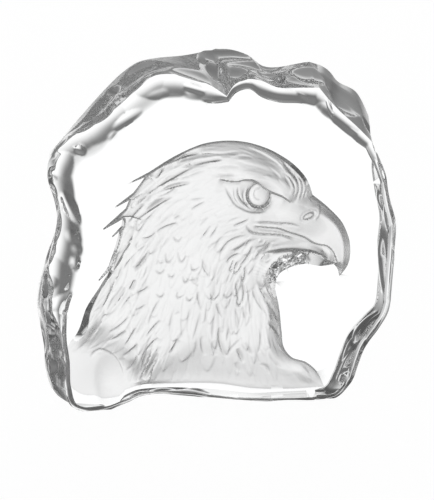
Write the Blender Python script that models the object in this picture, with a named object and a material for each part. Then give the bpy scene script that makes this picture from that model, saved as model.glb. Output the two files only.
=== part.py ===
"""Eagle head figurine: one pressed block of clear crystal with an eagle's head sunk into its back face.

The block stands on its underside, which is ground flat.  The beak points along +X, the back face looks
along +Y, and the polished front face, through which the head is seen, looks along -Y.  Sizes are in
millimetres up to the last step, which makes the mesh in metres and centres it on the origin.
"""

import math
from collections import namedtuple

import bmesh
import bpy
import numpy as np
from mathutils.geometry import delaunay_2d_cdt

MM = 0.001  # metres in a millimetre

# Driving sizes of the block.
THICKNESS = 40.0  # front face to back face
FRONT = -THICKNESS / 2
BACK = THICKNESS / 2
ARCH_HEIGHT = 3.6  # the hollow under the block, between its left foot and its long right foot
ARCH_SPAN = (-47.0, 26.0)  # from and to, along X
ARCH_RISE = (15.0, 32.0)  # length of its rise on the left, and of its fall on the right
LUMP = (-52.0, 16.0)  # centre of the smooth swell on the front of the left foot
LUMP_RADIUS = 19.0
LUMP_HEIGHT = 2.6

# Driving sizes of the sunk head.
EDGE_RISE = 6.0  # over this width the head's own swells come in, measured in from its outline
SHELF = 2.6  # the depth that every wall eases to, away from the outline
SHELF_REACH = 9.0  # over this width

# How finely the loops and faces are cut.
RIM_STEP = 3.6
OUTLINE_STEP = 2.4
RELIEF_STEP = 2.35
FACE_STEP = 9.0
FOOT_CLEAR = 0.9  # a wall's foot is left out where it is nearer the outline than this share of its width
BEVEL_ROWS = 3
WALL_ROWS = 5
NORMAL_WINDOW = 16.0  # the rim's outward direction is evened out over this length
NOTCH_WINDOW = 36.0  # and over this length by the notch at its first station
NOTCH_REACH = 12.0  # how far along the rim that holds

# One station of the front ridge, clockwise from the top: its place, the width of the bevel inside it, how
# far the bevel falls back from the front face, how far the back edge lies outside the ridge, and how far
# the wall swells out halfway back.
Station = namedtuple("Station", "x z bevel fall back swell")
RIM = (
    Station(4.5, 140.7, 2.0, 2.0, 15.5, -1.0),
    Station(8.5, 146.0, 3.0, 2.5, 11.0, 0.0),
    Station(13.5, 148.0, 4.0, 3.0, 8.5, 0.0),
    Station(20.0, 147.0, 6.5, 3.5, 7.0, 0.5),
    Station(28.0, 143.6, 6.0, 3.5, 4.8, 1.0),
    Station(38.5, 143.1, 6.5, 3.5, 4.5, 2.0),
    Station(47.5, 142.6, 9.0, 4.5, 7.5, 1.0),
    Station(51.0, 138.1, 8.0, 4.5, 11.0, 0.0),
    Station(56.5, 132.1, 6.5, 4.0, 11.0, 0.5),
    Station(64.0, 125.2, 6.0, 3.5, 13.0, 0.5),
    Station(71.2, 117.8, 4.5, 2.5, 9.5, 0.0),
    Station(76.8, 104.8, 4.0, 2.2, 0.5, -0.5),
    Station(79.6, 92.3, 4.0, 2.2, -1.0, 0.0),
    Station(82.6, 79.8, 4.5, 2.5, -1.5, -0.5),
    Station(82.2, 68.0, 4.5, 2.5, -2.0, 0.5),
    Station(80.8, 48.0, 4.5, 2.5, -0.5, 0.0),
    Station(79.3, 38.5, 4.5, 2.5, -0.5, 0.0),
    Station(75.4, 31.5, 5.0, 3.0, -2.5, 0.5),
    Station(69.0, 23.5, 5.0, 3.0, -3.0, 0.0),
    Station(65.8, 16.0, 5.0, 3.2, -3.0, 0.0),
    Station(62.0, 7.0, 4.5, 3.8, -2.5, 0.0),
    Station(56.0, 0.4, 4.0, 4.6, -1.0, 0.0),
    Station(48.0, -0.8, 3.8, 5.0, 0.0, 0.0),
    Station(24.0, -0.6, 3.5, 5.0, 0.0, 0.0),
    Station(4.0, 1.6, 3.0, 5.0, 0.0, 0.0),
    Station(-14.0, 4.8, 2.8, 4.5, 0.8, 0.0),
    Station(-28.0, 6.2, 2.8, 4.5, 2.0, 0.0),
    Station(-35.0, 5.4, 3.0, 4.5, 1.5, 0.0),
    Station(-43.0, 2.2, 3.5, 4.5, 0.8, 0.0),
    Station(-51.0, -0.8, 4.0, 4.5, 0.0, 0.0),
    Station(-60.0, -0.6, 3.5, 4.0, 0.5, 0.0),
    Station(-67.0, 3.2, 2.5, 3.0, 1.2, 0.5),
    Station(-69.6, 12.0, 2.0, 2.0, 1.8, 1.0),
    Station(-70.0, 24.0, 1.8, 1.8, 2.4, 1.2),
    Station(-72.0, 35.0, 2.5, 2.0, 2.2, 1.2),
    Station(-75.2, 46.0, 6.5, 3.5, 0.4, 1.6),
    Station(-76.5, 58.0, 11.0, 5.5, -3.5, 1.2),
    Station(-75.5, 70.0, 12.5, 6.5, -6.0, 0.5),
    Station(-73.5, 78.0, 12.5, 6.2, -7.0, 0.5),
    Station(-72.4, 88.0, 10.5, 5.0, -7.0, 0.5),
    Station(-73.8, 97.5, 9.5, 4.6, -7.0, 0.5),
    Station(-76.4, 106.0, 11.5, 4.2, -7.0, 0.5),
    Station(-76.3, 114.6, 13.0, 4.0, -7.5, 0.0),
    Station(-69.0, 123.6, 12.5, 4.0, -7.8, 0.5),
    Station(-58.5, 129.1, 12.5, 4.0, -3.5, 0.0),
    Station(-51.0, 133.1, 8.5, 3.2, -0.5, 0.5),
    Station(-42.5, 140.1, 9.5, 3.6, 0.8, 0.5),
    Station(-35.5, 146.0, 10.5, 3.8, 1.2, 0.5),
    Station(-28.0, 150.8, 10.5, 4.0, 1.2, 0.5),
    Station(-20.0, 151.3, 10.5, 4.0, 2.2, 0.5),
    Station(-11.0, 149.3, 10.0, 4.0, 5.0, 0.5),
    Station(-2.5, 145.5, 7.5, 3.2, 10.5, 0.0),
)
RIM_CORNERS = (0, 6, 10)  # stations where two scallops meet in a point

# One point of the sunk head's outline on the back face: its place, then the depth and the width of the
# wall that drops from the back face there.
Edge = namedtuple("Edge", "x z wall width")
CROWN = (
    Edge(-26.5, 104.0, 2.5, 1.0),
    Edge(-19.5, 108.2, 1.6, 0.8),
    Edge(-11.0, 112.5, 1.4, 0.8),
    Edge(-1.0, 116.0, 1.2, 0.8),
    Edge(10.0, 117.0, 1.2, 0.8),
    Edge(22.0, 115.0, 1.2, 0.8),
    Edge(32.1, 110.6, 1.2, 0.8),
    Edge(41.1, 104.3, 1.2, 0.8),
    Edge(46.6, 97.8, 1.2, 0.8),
)
BEAK = (
    Edge(49.3, 90.6, 1.0, 0.8),
    Edge(57.1, 84.0, 1.0, 0.8),
    Edge(63.9, 76.0, 1.0, 0.8),
    Edge(67.0, 66.0, 1.0, 0.8),
    Edge(66.0, 57.8, 1.0, 0.8),
    Edge(61.9, 52.3, 1.0, 0.8),
    Edge(60.8, 56.3, 1.0, 0.8),
)
JAW = (
    Edge(59.4, 58.0, 1.6, 1.2),
    Edge(53.6, 57.5, 4.0, 2.8),
    Edge(45.1, 58.8, 5.5, 4.6),
    Edge(38.1, 57.2, 6.5, 5.5),
    Edge(33.6, 54.4, 6.5, 5.0),
    Edge(31.9, 48.0, 4.5, 2.5),
)
FRONT_NECK = (
    Edge(33.6, 40.0, 1.2, 0.8),
    Edge(35.0, 28.0, 1.0, 0.8),
    Edge(36.1, 20.5, 1.0, 0.8),
    Edge(39.6, 15.9, 1.0, 0.8),
    Edge(46.2, 13.4, 1.0, 0.8),
    Edge(51.6, 8.6, 1.0, 0.8),
    Edge(54.9, 1.4, 1.0, 0.8),
)
BASE_LINE = (
    Edge(38.6, 1.2, 0.6, 0.8),
    Edge(22.0, 2.2, 0.6, 0.8),
    Edge(6.0, 5.2, 0.6, 0.8),
    Edge(-16.0, 6.4, 0.6, 0.8),
    Edge(-32.0, 6.6, 0.6, 0.8),
    Edge(-46.0, 4.6, 0.5, 0.8),
    Edge(-58.0, 4.8, 0.5, 0.8),
    Edge(-64.0, 10.0, 0.5, 0.8),
    Edge(-65.4, 19.0, 0.5, 0.8),
    Edge(-63.4, 27.0, 1.0, 0.8),
)
HIND_NECK = (
    Edge(-60.0, 31.5, 4.0, 1.6),
    Edge(-55.5, 43.0, 5.0, 1.8),
    Edge(-49.0, 53.0, 5.0, 1.8),
)
# Each hackle stands out of the hind neck as a thin spike: its lower root, its tip and its upper root.
HACKLES = (
    (Edge(-44.9, 59.4, 5.0, 1.8), Edge(-50.0, 54.9, 3.0, 1.8), Edge(-45.1, 62.0, 5.0, 1.8)),
    (Edge(-40.3, 77.3, 5.0, 1.8), Edge(-45.6, 73.2, 3.0, 1.8), Edge(-39.3, 79.8, 5.0, 1.8)),
    (Edge(-38.8, 83.0, 5.0, 1.8), Edge(-47.4, 78.8, 3.0, 1.8), Edge(-37.2, 87.9, 5.0, 1.8)),
    (Edge(-35.7, 91.4, 4.5, 1.6), Edge(-42.3, 88.4, 3.0, 1.6), Edge(-33.6, 94.9, 4.5, 1.6)),
    (Edge(-28.5, 101.6, 4.0, 1.4), Edge(-36.8, 99.0, 3.0, 1.4), Edge(-26.5, 104.0, 2.5, 1.0)),
)
NAPE = (  # between the first hackle and the second
    Edge(-43.4, 67.0, 5.0, 1.8),
    Edge(-41.6, 72.5, 5.0, 1.8),
)

# How the head rounds over from its outline, part by part: where each part is and how far it reaches, then
# the width over which it rounds and the depth that it gains there.
Part = namedtuple("Part", "x z reach round rise")
PARTS = (
    Part(8.0, 92.0, 20.0, 15.0, 9.0),  # skull
    Part(32.6, 98.0, 12.0, 12.0, 8.0),  # forehead
    Part(58.6, 70.0, 9.0, 8.5, 6.5),  # beak
    Part(48.6, 62.5, 5.0, 3.5, 3.5),  # lower jaw
    Part(-12.0, 62.0, 20.0, 15.0, 8.5),  # neck
    Part(18.0, 44.0, 12.0, 10.0, 7.5),  # throat
    Part(-18.0, 22.0, 18.0, 14.0, 5.0),  # hind breast
    Part(22.0, 18.0, 14.0, 9.0, 6.0),  # breast
    Part(46.6, 6.0, 7.0, 6.0, 5.0),  # shoulder
)
# Broad swells and hollows laid over that: centre, half-lengths, turn from +X in degrees, and depth gained.
Swell = namedtuple("Swell", "x z along across turn rise")
SWELLS = (
    Swell(12.0, 88.0, 34.0, 24.0, -15.0, 3.0),  # cheek and skull
    Swell(0.0, 55.0, 44.0, 24.0, 65.0, 2.0),  # neck
    Swell(25.0, 99.5, 19.0, 4.5, -22.0, 1.6),  # brow
    Swell(23.0, 91.5, 12.0, 8.5, -8.0, -2.8),  # eye socket
    Swell(22.8, 93.0, 6.0, 6.0, 0.0, 2.6),  # eyeball
    Swell(42.6, 80.0, 14.0, 6.0, -25.0, 1.2),  # cere
    Swell(40.6, 72.0, 20.0, 1.7, -16.0, -1.4),  # line of the mouth
)


def trace(rows, step, corners=()):
    """Samples a smooth closed curve through rows, whose first two columns are its place in the plane.

    Every column is carried along.  The curve turns sharply at the rows that corners lists.
    """
    knots = np.array(rows, float)
    count = len(knots)
    chord = np.roll(knots, -1, axis=0) - knots
    length = np.hypot(chord[:, 0], chord[:, 1])
    slope = chord / length[:, None]
    before, weight = np.roll(slope, 1, axis=0), np.roll(length, 1)
    smooth = (slope * weight[:, None] + before * length[:, None]) / (length + weight)[:, None]
    leaving, arriving = smooth.copy(), smooth.copy()
    for corner in corners:
        leaving[corner], arriving[corner] = slope[corner], before[corner]
    samples = []
    for i in range(count):
        following = (i + 1) % count
        pieces = max(1, round(length[i] / step))
        for t in np.arange(pieces) / pieces:
            square, cube = t * t, t * t * t
            samples.append(
                knots[i] * (2 * cube - 3 * square + 1)
                + leaving[i] * length[i] * (cube - 2 * square + t)
                + knots[following] * (3 * square - 2 * cube)
                + arriving[following] * length[i] * (cube - square)
            )
    return np.array(samples)


def outward(loop, window):
    """Unit normals of a clockwise closed loop, taken from the loop evened out over window."""
    step = np.linalg.norm(np.roll(loop, -1, axis=0) - loop, axis=1).mean()
    reach = max(1, round(window / step / 2))
    even = sum(np.roll(loop, shift, axis=0) for shift in range(-reach, reach + 1)) / (2 * reach + 1)
    along = np.roll(even, -1, axis=0) - np.roll(even, 1, axis=0)
    normal = np.stack([-along[:, 1], along[:, 0]], axis=1)
    return normal / np.linalg.norm(normal, axis=1)[:, None]


def smoothstep(value):
    """0 below 0, 1 above 1, and a smooth rise between."""
    clipped = np.clip(value, 0.0, 1.0)
    return clipped * clipped * (3 - 2 * clipped)


def arch(x):
    """Height of the block's underside over the surface that it stands on."""
    rise = smoothstep((x - ARCH_SPAN[0]) / ARCH_RISE[0])
    fall = smoothstep((ARCH_SPAN[1] - x) / ARCH_RISE[1])
    return ARCH_HEIGHT * rise * fall


def lump(x, z):
    """How far the left foot's front swells out past the flat front face."""
    away = np.hypot(x - LUMP[0], z - LUMP[1]) / LUMP_RADIUS
    return LUMP_HEIGHT * (1 - smoothstep(away))


def rim_rings():
    """The block's closed loops, in order from the front face's edge over the ridge to the back face's edge."""
    samples = trace(RIM, RIM_STEP, RIM_CORNERS)
    ridge, (bevel, fall, back, swell) = samples[:, :2], samples[:, 2:].T
    near = np.exp(-((np.hypot(*(ridge - ridge[0]).T) / NOTCH_REACH) ** 2))[:, None]
    normal = outward(ridge, NORMAL_WINDOW) * (1 - near) + outward(ridge, NOTCH_WINDOW) * near
    rings = []
    for row in range(BEVEL_ROWS + 1):
        share = row / BEVEL_ROWS
        place = ridge - normal * (bevel * (1 - share))[:, None]
        set_back = fall * share * share * (6 - 8 * share + 3 * share * share)
        rings.append((place, FRONT + set_back - lump(place[:, 0], place[:, 1]) * (1 - share)))
    ridge_depth = rings[-1][1]
    for row in range(1, WALL_ROWS + 1):
        share = row / WALL_ROWS
        place = ridge + normal * (back * share + swell * math.sin(math.pi * share))[:, None]
        rings.append((place, ridge_depth + (BACK - ridge_depth) * share))
    finished = []
    for place, depth in rings:
        ground = np.maximum(place[:, 1], arch(place[:, 0]))
        finished.append(np.stack([place[:, 0], depth, ground], axis=1))
    return finished


def head_outline():
    """The sunk head's outline on the back face, with its wall's depth and width at each point."""
    rows, corners = [], []

    def add(edges, sharp=()):
        corners.extend(len(rows) + i for i in sharp)
        rows.extend(edges)

    add(CROWN, sharp=(0,))
    add(BEAK, sharp=(0, 5))
    add(JAW, sharp=(0, 5))
    add(FRONT_NECK, sharp=(6,))
    add(BASE_LINE)
    add(HIND_NECK)
    add(HACKLES[0], sharp=(0, 1, 2))
    add(NAPE)
    for hackle in HACKLES[1:-1]:
        add(hackle, sharp=(0, 1, 2))
    add(HACKLES[-1][:2], sharp=(0, 1))
    return trace(rows, OUTLINE_STEP, corners)


def inside(points, loop):
    """True for each point that lies within the closed loop."""
    x, z = points[:, 0], points[:, 1]
    result = np.zeros(len(points), bool)
    for (x0, z0), (x1, z1) in zip(loop, np.roll(loop, -1, axis=0)):
        if z0 == z1:
            continue
        spans = (z0 > z) != (z1 > z)
        result ^= spans & (x < (x1 - x0) * (z - z0) / (z1 - z0) + x0)
    return result


def nearest(points, rows):
    """Each point's distance to the closed loop of rows, and the rows' other columns at the nearest place."""
    start, end = rows[:, :2], np.roll(rows[:, :2], -1, axis=0)
    run = end - start
    offset = points[:, None, :] - start[None]
    share = np.clip((offset * run).sum(axis=2) / (run * run).sum(axis=1), 0, 1)
    away = np.linalg.norm(offset - share[..., None] * run, axis=2)
    best = away.argmin(axis=1)
    pick = np.arange(len(points))
    share = share[pick, best][:, None]
    other = rows[best, 2:] * (1 - share) + np.roll(rows, -1, axis=0)[best, 2:] * share
    return away[pick, best], other


def grid(loop, step, clearance):
    """Points of an even triangular grid that lie in the loop, clear of it by clearance."""
    low, high = loop.min(axis=0), loop.max(axis=0)
    row_step = step * math.sqrt(3) / 2
    points = [
        (low[0] + step * (column + 0.5 * (row % 2)), low[1] + row_step * row)
        for row in range(int((high[1] - low[1]) / row_step) + 1)
        for column in range(int((high[0] - low[0]) / step) + 1)
    ]
    points = np.array(points)
    points = points[inside(points, loop)]
    return points[nearest(points, loop)[0] > clearance]


def wall_foot(outline):
    """Points along the foot of the wall that drops from the head's outline."""
    loop, width = outline[:, :2], outline[:, 3]
    points = loop - outward(loop, OUTLINE_STEP) * width[:, None]
    clear = nearest(points, outline)[0] > width * FOOT_CLEAR
    return points[clear & inside(points, loop)]


def relief_points(outline):
    """Where the sunk head's surface is set out: the foot of its wall, and an even grid within that."""
    points = grid(outline[:, :2], RELIEF_STEP, RELIEF_STEP / 2)
    away, wall = nearest(points, outline)
    return np.vstack([wall_foot(outline), points[away > wall[:, 1] + RELIEF_STEP * 0.5]])


def turned(x, z, swell):
    """Squared distance from a swell's centre, where 1 is its rim."""
    angle = math.radians(swell.turn)
    dx, dz = x - swell.x, z - swell.z
    along = (dx * math.cos(angle) + dz * math.sin(angle)) / swell.along
    across = (dz * math.cos(angle) - dx * math.sin(angle)) / swell.across
    return along * along + across * across


def relief(points, outline):
    """How far the sunk head lies in from the back face at each point within its outline."""
    x, z = points[:, 0], points[:, 1]
    edge, wall = nearest(points, outline)
    weights = np.array([np.exp(-((x - p.x) ** 2 + (z - p.z) ** 2) / (2 * p.reach**2)) for p in PARTS])
    weights /= weights.sum(axis=0)
    round_over = weights.T @ np.array([p.round for p in PARTS])
    rise = weights.T @ np.array([p.rise for p in PARTS])
    inward = np.maximum(edge - wall[:, 1], 0.0)
    share = np.clip(inward / round_over, 0, 1)
    shelf = wall[:, 0] + (SHELF - wall[:, 0]) * smoothstep(edge / SHELF_REACH)
    depth = shelf * np.clip(edge / wall[:, 1], 0, 1) + rise * np.sqrt(1 - (1 - share) ** 2)
    for swell in SWELLS:
        within = np.clip(1 - turned(x, z, swell), 0, 1)
        depth += swell.rise * within**1.5 * smoothstep(inward / EDGE_RISE)
    return depth


def cut(loops, extra):
    """Triangulates the first loop's inside, keeping every loop's edges.  Returns points and triangles."""
    points, edges = [], []
    for loop in loops:
        first, count = len(points), len(loop)
        points.extend(map(tuple, loop))
        edges.extend((first + i, first + (i + 1) % count) for i in range(count))
    points.extend(map(tuple, extra))
    found, _, faces, origins, _, _ = delaunay_2d_cdt(points, edges, [], 0, 1e-5)
    found = np.array([tuple(p) for p in found])
    faces = np.array(faces)
    faces = faces[inside(found[faces].mean(axis=1), np.array(loops[0]))]
    return found, faces, origins


def add_face(bm, ring, loops, extra, depth):
    """Closes a ring of vertices with a face that is cut along loops, at the depth that a function gives."""
    found, faces, origins = cut([[(v.co.x, v.co.z) for v in ring]] + loops, extra)
    depths = depth(found)
    made = {}
    for i in sorted(set(faces.flatten())):
        on_ring = [n for n in origins[i] if n < len(ring)]
        made[i] = ring[on_ring[0]] if on_ring else bm.verts.new((found[i][0], depths[i], found[i][1]))
    for face in faces:
        bm.faces.new([made[i] for i in face])


def build_block():
    """The whole block as one closed mesh, in metres, centred over the origin."""
    bm = bmesh.new()
    rings = [[bm.verts.new(tuple(p)) for p in ring] for ring in rim_rings()]
    for ring, following in zip(rings, rings[1:]):
        for i in range(len(ring)):
            j = (i + 1) % len(ring)
            bm.faces.new((ring[i], ring[j], following[j], following[i]))

    face_loop = np.array([(v.co.x, v.co.z) for v in rings[0]])
    face_points = grid(face_loop, FACE_STEP, FACE_STEP / 2)
    add_face(bm, rings[0], [], face_points, lambda found: FRONT - lump(found[:, 0], found[:, 1]))

    outline = head_outline()

    def back_depth(found):
        sunk = inside(found, outline[:, :2]) & (nearest(found, outline)[0] > RELIEF_STEP * 0.1)
        depths = np.full(len(found), BACK)
        depths[sunk] -= relief(found[sunk], outline)
        return depths

    add_face(bm, rings[-1], [outline[:, :2]], relief_points(outline), back_depth)

    bmesh.ops.triangulate(bm, faces=[f for f in bm.faces if len(f.verts) > 3])
    bmesh.ops.recalc_face_normals(bm, faces=bm.faces)
    places = np.array([v.co for v in bm.verts])
    middle = (places.min(axis=0) + places.max(axis=0)) / 2
    shift = -np.array([middle[0], middle[1], places[:, 2].min()])
    for vertex, place in zip(bm.verts, places):
        vertex.co = (place + shift) * MM
    mesh = bpy.data.meshes.new("crystal_block")
    bm.to_mesh(mesh)
    bm.free()
    mesh.shade_smooth()
    mesh.set_sharp_from_angle(angle=math.radians(28))
    return mesh


def crystal():
    """Clear colourless crystal."""
    material = bpy.data.materials.new("clear crystal")
    material.use_nodes = True
    shader = material.node_tree.nodes["Principled BSDF"]
    shader.inputs["Base Color"].default_value = (0.93, 0.94, 0.94, 1)
    shader.inputs["Roughness"].default_value = 0.05
    shader.inputs["Metallic"].default_value = 0.0
    shader.inputs["IOR"].default_value = 1.54
    shader.inputs["Transmission Weight"].default_value = 1.0
    return material


def main():
    """Empties the scene and adds the block."""
    for old in list(bpy.data.objects):
        bpy.data.objects.remove(old)
    block = bpy.data.objects.new("crystal_block", build_block())
    block.data.materials.append(crystal())
    bpy.context.scene.collection.objects.link(block)


main()
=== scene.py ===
"""Looks of the eagle's-head block: clear pressed crystal with a frosted head sunk into its back face.

The block is built again here at a fine step, on the same stations and outline as its plain solid, and laid
into that solid's box.  The beak points along +X, the back face looks along +Y and +Z is up.  Sizes are in
millimetres up to the last step, which makes the mesh in metres.
"""

from __future__ import annotations

import logging
import math
from dataclasses import astuple, dataclass, field
from enum import Enum
from typing import Any, Iterable, Sequence

import bmesh
import bpy
import numpy as np
from mathutils import Matrix, Vector
from mathutils.geometry import delaunay_2d_cdt
from mathutils.kdtree import KDTree

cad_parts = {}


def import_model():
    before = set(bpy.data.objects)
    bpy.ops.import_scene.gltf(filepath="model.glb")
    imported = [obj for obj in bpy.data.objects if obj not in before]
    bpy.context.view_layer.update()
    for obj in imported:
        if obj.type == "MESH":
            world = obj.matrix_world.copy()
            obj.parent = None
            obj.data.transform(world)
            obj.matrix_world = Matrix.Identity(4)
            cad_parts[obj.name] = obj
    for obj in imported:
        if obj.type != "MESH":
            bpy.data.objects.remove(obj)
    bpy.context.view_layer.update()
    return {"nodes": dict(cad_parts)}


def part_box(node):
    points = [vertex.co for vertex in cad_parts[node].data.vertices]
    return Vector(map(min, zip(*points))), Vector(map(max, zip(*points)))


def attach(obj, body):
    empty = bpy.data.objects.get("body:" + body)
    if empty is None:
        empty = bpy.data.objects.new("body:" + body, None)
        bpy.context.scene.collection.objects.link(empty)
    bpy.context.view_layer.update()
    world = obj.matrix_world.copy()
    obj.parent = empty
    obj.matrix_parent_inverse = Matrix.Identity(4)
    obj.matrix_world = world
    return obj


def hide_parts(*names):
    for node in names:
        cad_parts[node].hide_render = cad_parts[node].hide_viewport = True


TOUCH = 0.02  # millimetres within which a point counts as lying on a line
MERGE = 1e-5  # millimetres within which points are one
NARROW_CUT = (0.06, 0.6)  # millimetres at which the painted shade in a narrow cut is at its darkest, and how strong that painted shade is
WIDE_CUT = (0.16, 0.7)  # the same for a wide one
NODE = "crystal_block"
LOG = logging.getLogger("eagle_block")
Point = tuple[float, float]


class Finish(Enum):
    """How a stretch of the glass is finished.  The value is its material slot on the block."""

    POLISHED = 0
    FROSTED = 1


# ----------------------------------------------------------------------------------------------------------
# Plane geometry


def smoothstep(value: Any) -> Any:
    """0 below 0, 1 above 1, and a smooth rise between."""
    clipped = np.clip(value, 0.0, 1.0)
    return clipped * clipped * (3 - 2 * clipped)


def faded(share: np.ndarray, fade: float) -> np.ndarray:
    """0 at a line's two ends and 1 between them, where each end fades over a share of the line."""
    return smoothstep(share / fade) * smoothstep((1 - share) / fade)


def cosine_sine(turn: float) -> Point:
    """The cosine and the sine of an angle in degrees."""
    return math.cos(math.radians(turn)), math.sin(math.radians(turn))


def turned(dx: Any, dz: Any, cosine: float, sine: float) -> tuple[Any, Any]:
    """How far an offset runs along a direction, and how far across it to the left."""
    return dx * cosine + dz * sine, dz * cosine - dx * sine


@dataclass(frozen=True)
class Oval:
    """An oval: its centre, its half-lengths, and the way its long axis runs, in degrees from +X."""

    x: float
    z: float
    along: float
    across: float
    turn: float

    def off(self, points: np.ndarray) -> np.ndarray:
        """How far points lie from the centre, where 1 is the rim."""
        dx, dz = points[:, 0] - self.x, points[:, 1] - self.z
        along, across = turned(dx, dz, *cosine_sine(self.turn))
        return np.hypot(along / self.along, across / self.across)


def trace(rows: Sequence[Sequence[float]], step: float, corners: Iterable[int] = ()) -> np.ndarray:
    """Samples a smooth closed curve through rows, carrying every column along.

    Args:
        rows: The curve's points; the first two columns are its place in the plane.
        step: The rough distance between samples.
        corners: Which rows the curve turns sharply at.

    Returns:
        One sample to a line, with the same columns as rows.
    """
    knots = np.array(rows, float)
    chord = np.roll(knots, -1, axis=0) - knots
    length = np.hypot(chord[:, 0], chord[:, 1])
    slope = chord / length[:, None]
    before, weight = np.roll(slope, 1, axis=0), np.roll(length, 1)
    smooth = (slope * weight[:, None] + before * length[:, None]) / (length + weight)[:, None]
    leaving, arriving = smooth.copy(), smooth.copy()
    for corner in corners:
        leaving[corner], arriving[corner] = slope[corner], before[corner]
    samples = []
    for i in range(len(knots)):
        following = (i + 1) % len(knots)
        pieces = max(1, round(length[i] / step))
        t = (np.arange(pieces) / pieces)[:, None]
        square, cube = t * t, t * t * t
        samples.append(
            knots[i] * (2 * cube - 3 * square + 1)
            + leaving[i] * length[i] * (cube - 2 * square + t)
            + knots[following] * (3 * square - 2 * cube)
            + arriving[following] * length[i] * (cube - square)
        )
    return np.vstack(samples)


def trace_open(rows: Sequence[Sequence[float]], step: float = 0.6) -> np.ndarray:
    """Samples a smooth open curve through rows of which the first two numbers are x and z."""
    loop = trace(rows, step, corners=(0, len(rows) - 1))
    last = np.hypot(loop[:, 0] - rows[-1][0], loop[:, 1] - rows[-1][1]).argmin()
    return loop[: last + 1]


def outward(loop: np.ndarray, window: float) -> np.ndarray:
    """Unit normals of a clockwise closed loop.

    Args:
        loop: The loop's points.
        window: The length over which the loop is evened out first.

    Returns:
        One normal for each point.
    """
    step = np.linalg.norm(np.roll(loop, -1, axis=0) - loop, axis=1).mean()
    reach = max(1, round(window / step / 2))
    even = sum(np.roll(loop, shift, axis=0) for shift in range(-reach, reach + 1)) / (2 * reach + 1)
    along = np.roll(even, -1, axis=0) - np.roll(even, 1, axis=0)
    normal = np.stack([-along[:, 1], along[:, 0]], axis=1)
    return normal / np.linalg.norm(normal, axis=1)[:, None]


def inside(points: np.ndarray, loop: np.ndarray) -> np.ndarray:
    """Tells which points lie within a closed loop.

    Args:
        points: The points to test.
        loop: The loop's points.

    Returns:
        True for each point inside.
    """
    x, z = points[:, 0], points[:, 1]
    result = np.zeros(len(points), bool)
    for (x0, z0), (x1, z1) in zip(loop, np.roll(loop, -1, axis=0)):
        if z0 == z1:
            continue
        spans = (z0 > z) != (z1 > z)
        result ^= spans & (x < (x1 - x0) * (z - z0) / (z1 - z0) + x0)
    return result


def closest(points: np.ndarray, places: np.ndarray) -> np.ndarray:
    """Tells which of some places lies closest to each point, by its number."""
    tree = KDTree(len(places))
    for i, (x, z) in enumerate(places):
        tree.insert((x, z, 0.0), i)
    tree.balance()
    return np.array([tree.find((x, z, 0.0))[1] for x, z in points], int)


def nearest(points: np.ndarray, rows: np.ndarray, closed: bool = True) -> tuple[np.ndarray, ...]:
    """Finds each point's nearest place on a line.

    Args:
        points: The points to measure from.
        rows: The line's samples, with any further columns behind their place.
        closed: Whether the line's end joins its start.

    Returns:
        The distance, positive on the left of an open line; the other columns there; and how far along the
        line that is, from 0 to 1.
    """
    at = closest(points, rows[:, :2])
    candidates = []
    for first in (at - 1, at):
        start = first % len(rows) if closed else np.clip(first, 0, len(rows) - 2)
        end = (start + 1) % len(rows)
        run = rows[end, :2] - rows[start, :2]
        offset = points - rows[start, :2]
        part = np.clip((offset * run).sum(axis=1) / (run * run).sum(axis=1), 0, 1)
        away = np.linalg.norm(offset - run * part[:, None], axis=1)
        side = np.sign(run[:, 0] * offset[:, 1] - run[:, 1] * offset[:, 0])
        other = rows[start, 2:] * (1 - part)[:, None] + rows[end, 2:] * part[:, None]
        candidates.append((away, side, other, (start + part) / (len(rows) - 1)))
    (away, side, other, share), (away_2, side_2, other_2, share_2) = candidates
    later = away_2 < away
    away, side, share = (np.where(later, b, a) for a, b in ((away, away_2), (side, side_2), (share, share_2)))
    other = np.where(later[:, None], other_2, other)
    return away * (1 if closed else side), other, share


def honeycomb(loop: np.ndarray, step: float) -> np.ndarray:
    """Points of an even triangular grid within a closed loop.

    Args:
        loop: The loop's points.
        step: The distance between neighbours.

    Returns:
        The points that lie inside.
    """
    low, high = loop.min(axis=0), loop.max(axis=0)
    row_step = step * math.sqrt(3) / 2
    columns, rows = np.meshgrid(
        np.arange(int((high[0] - low[0]) / step) + 1), np.arange(int((high[1] - low[1]) / row_step) + 1)
    )
    x = low[0] + step * (columns + 0.5 * (rows % 2))
    points = np.stack([x.ravel(), (low[1] + row_step * rows).ravel()], axis=1)
    return points[inside(points, loop)]


def beside_line(points: np.ndarray, line: Sequence[Point], fade: float) -> tuple[np.ndarray, np.ndarray]:
    """Where points lie beside a smooth open line.

    Args:
        points: The points to measure.
        line: The points that the line runs through.
        fade: The share of the line that each of its ends fades over.

    Returns:
        The distance, positive on the line's left, and how much of the line is left there.
    """
    away, _, share = nearest(points, trace_open(line), closed=False)
    return away, faded(share, fade)


# ----------------------------------------------------------------------------------------------------------
# The block's rocky rim


@dataclass(frozen=True)
class Station:
    """One station of the front ridge.

    Its place, the width of the bevel inside it, how far the bevel falls back from the front face, how far
    the back edge lies outside the ridge, and how far the wall swells out halfway back.
    """

    x: float
    z: float
    bevel: float
    fall: float
    back: float
    swell: float


@dataclass(frozen=True)
class Chip(Oval):
    """A shell-shaped flake off the bevel, and its depth."""

    depth: float


@dataclass(frozen=True)
class Scoop:
    """A shell-shaped scoop out of the side wall.

    It lies by the ridge point nearest to (x, z), through millimetres back from the ridge.  along and across
    are its half-lengths, and it is depth deep.
    """

    x: float
    z: float
    through: float
    along: float
    across: float
    depth: float
    turn: float = 0.0


@dataclass(frozen=True)
class Ranges:
    """Between which two numbers each size of the random chips or scoops is drawn.

    Their half-length, their half-width, how far they turn, how far in or back from the ridge they lie, and
    their depth as a share of their half-width.
    """

    along: Point
    across: Point
    turn: Point
    inward: Point
    depth: Point


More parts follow.
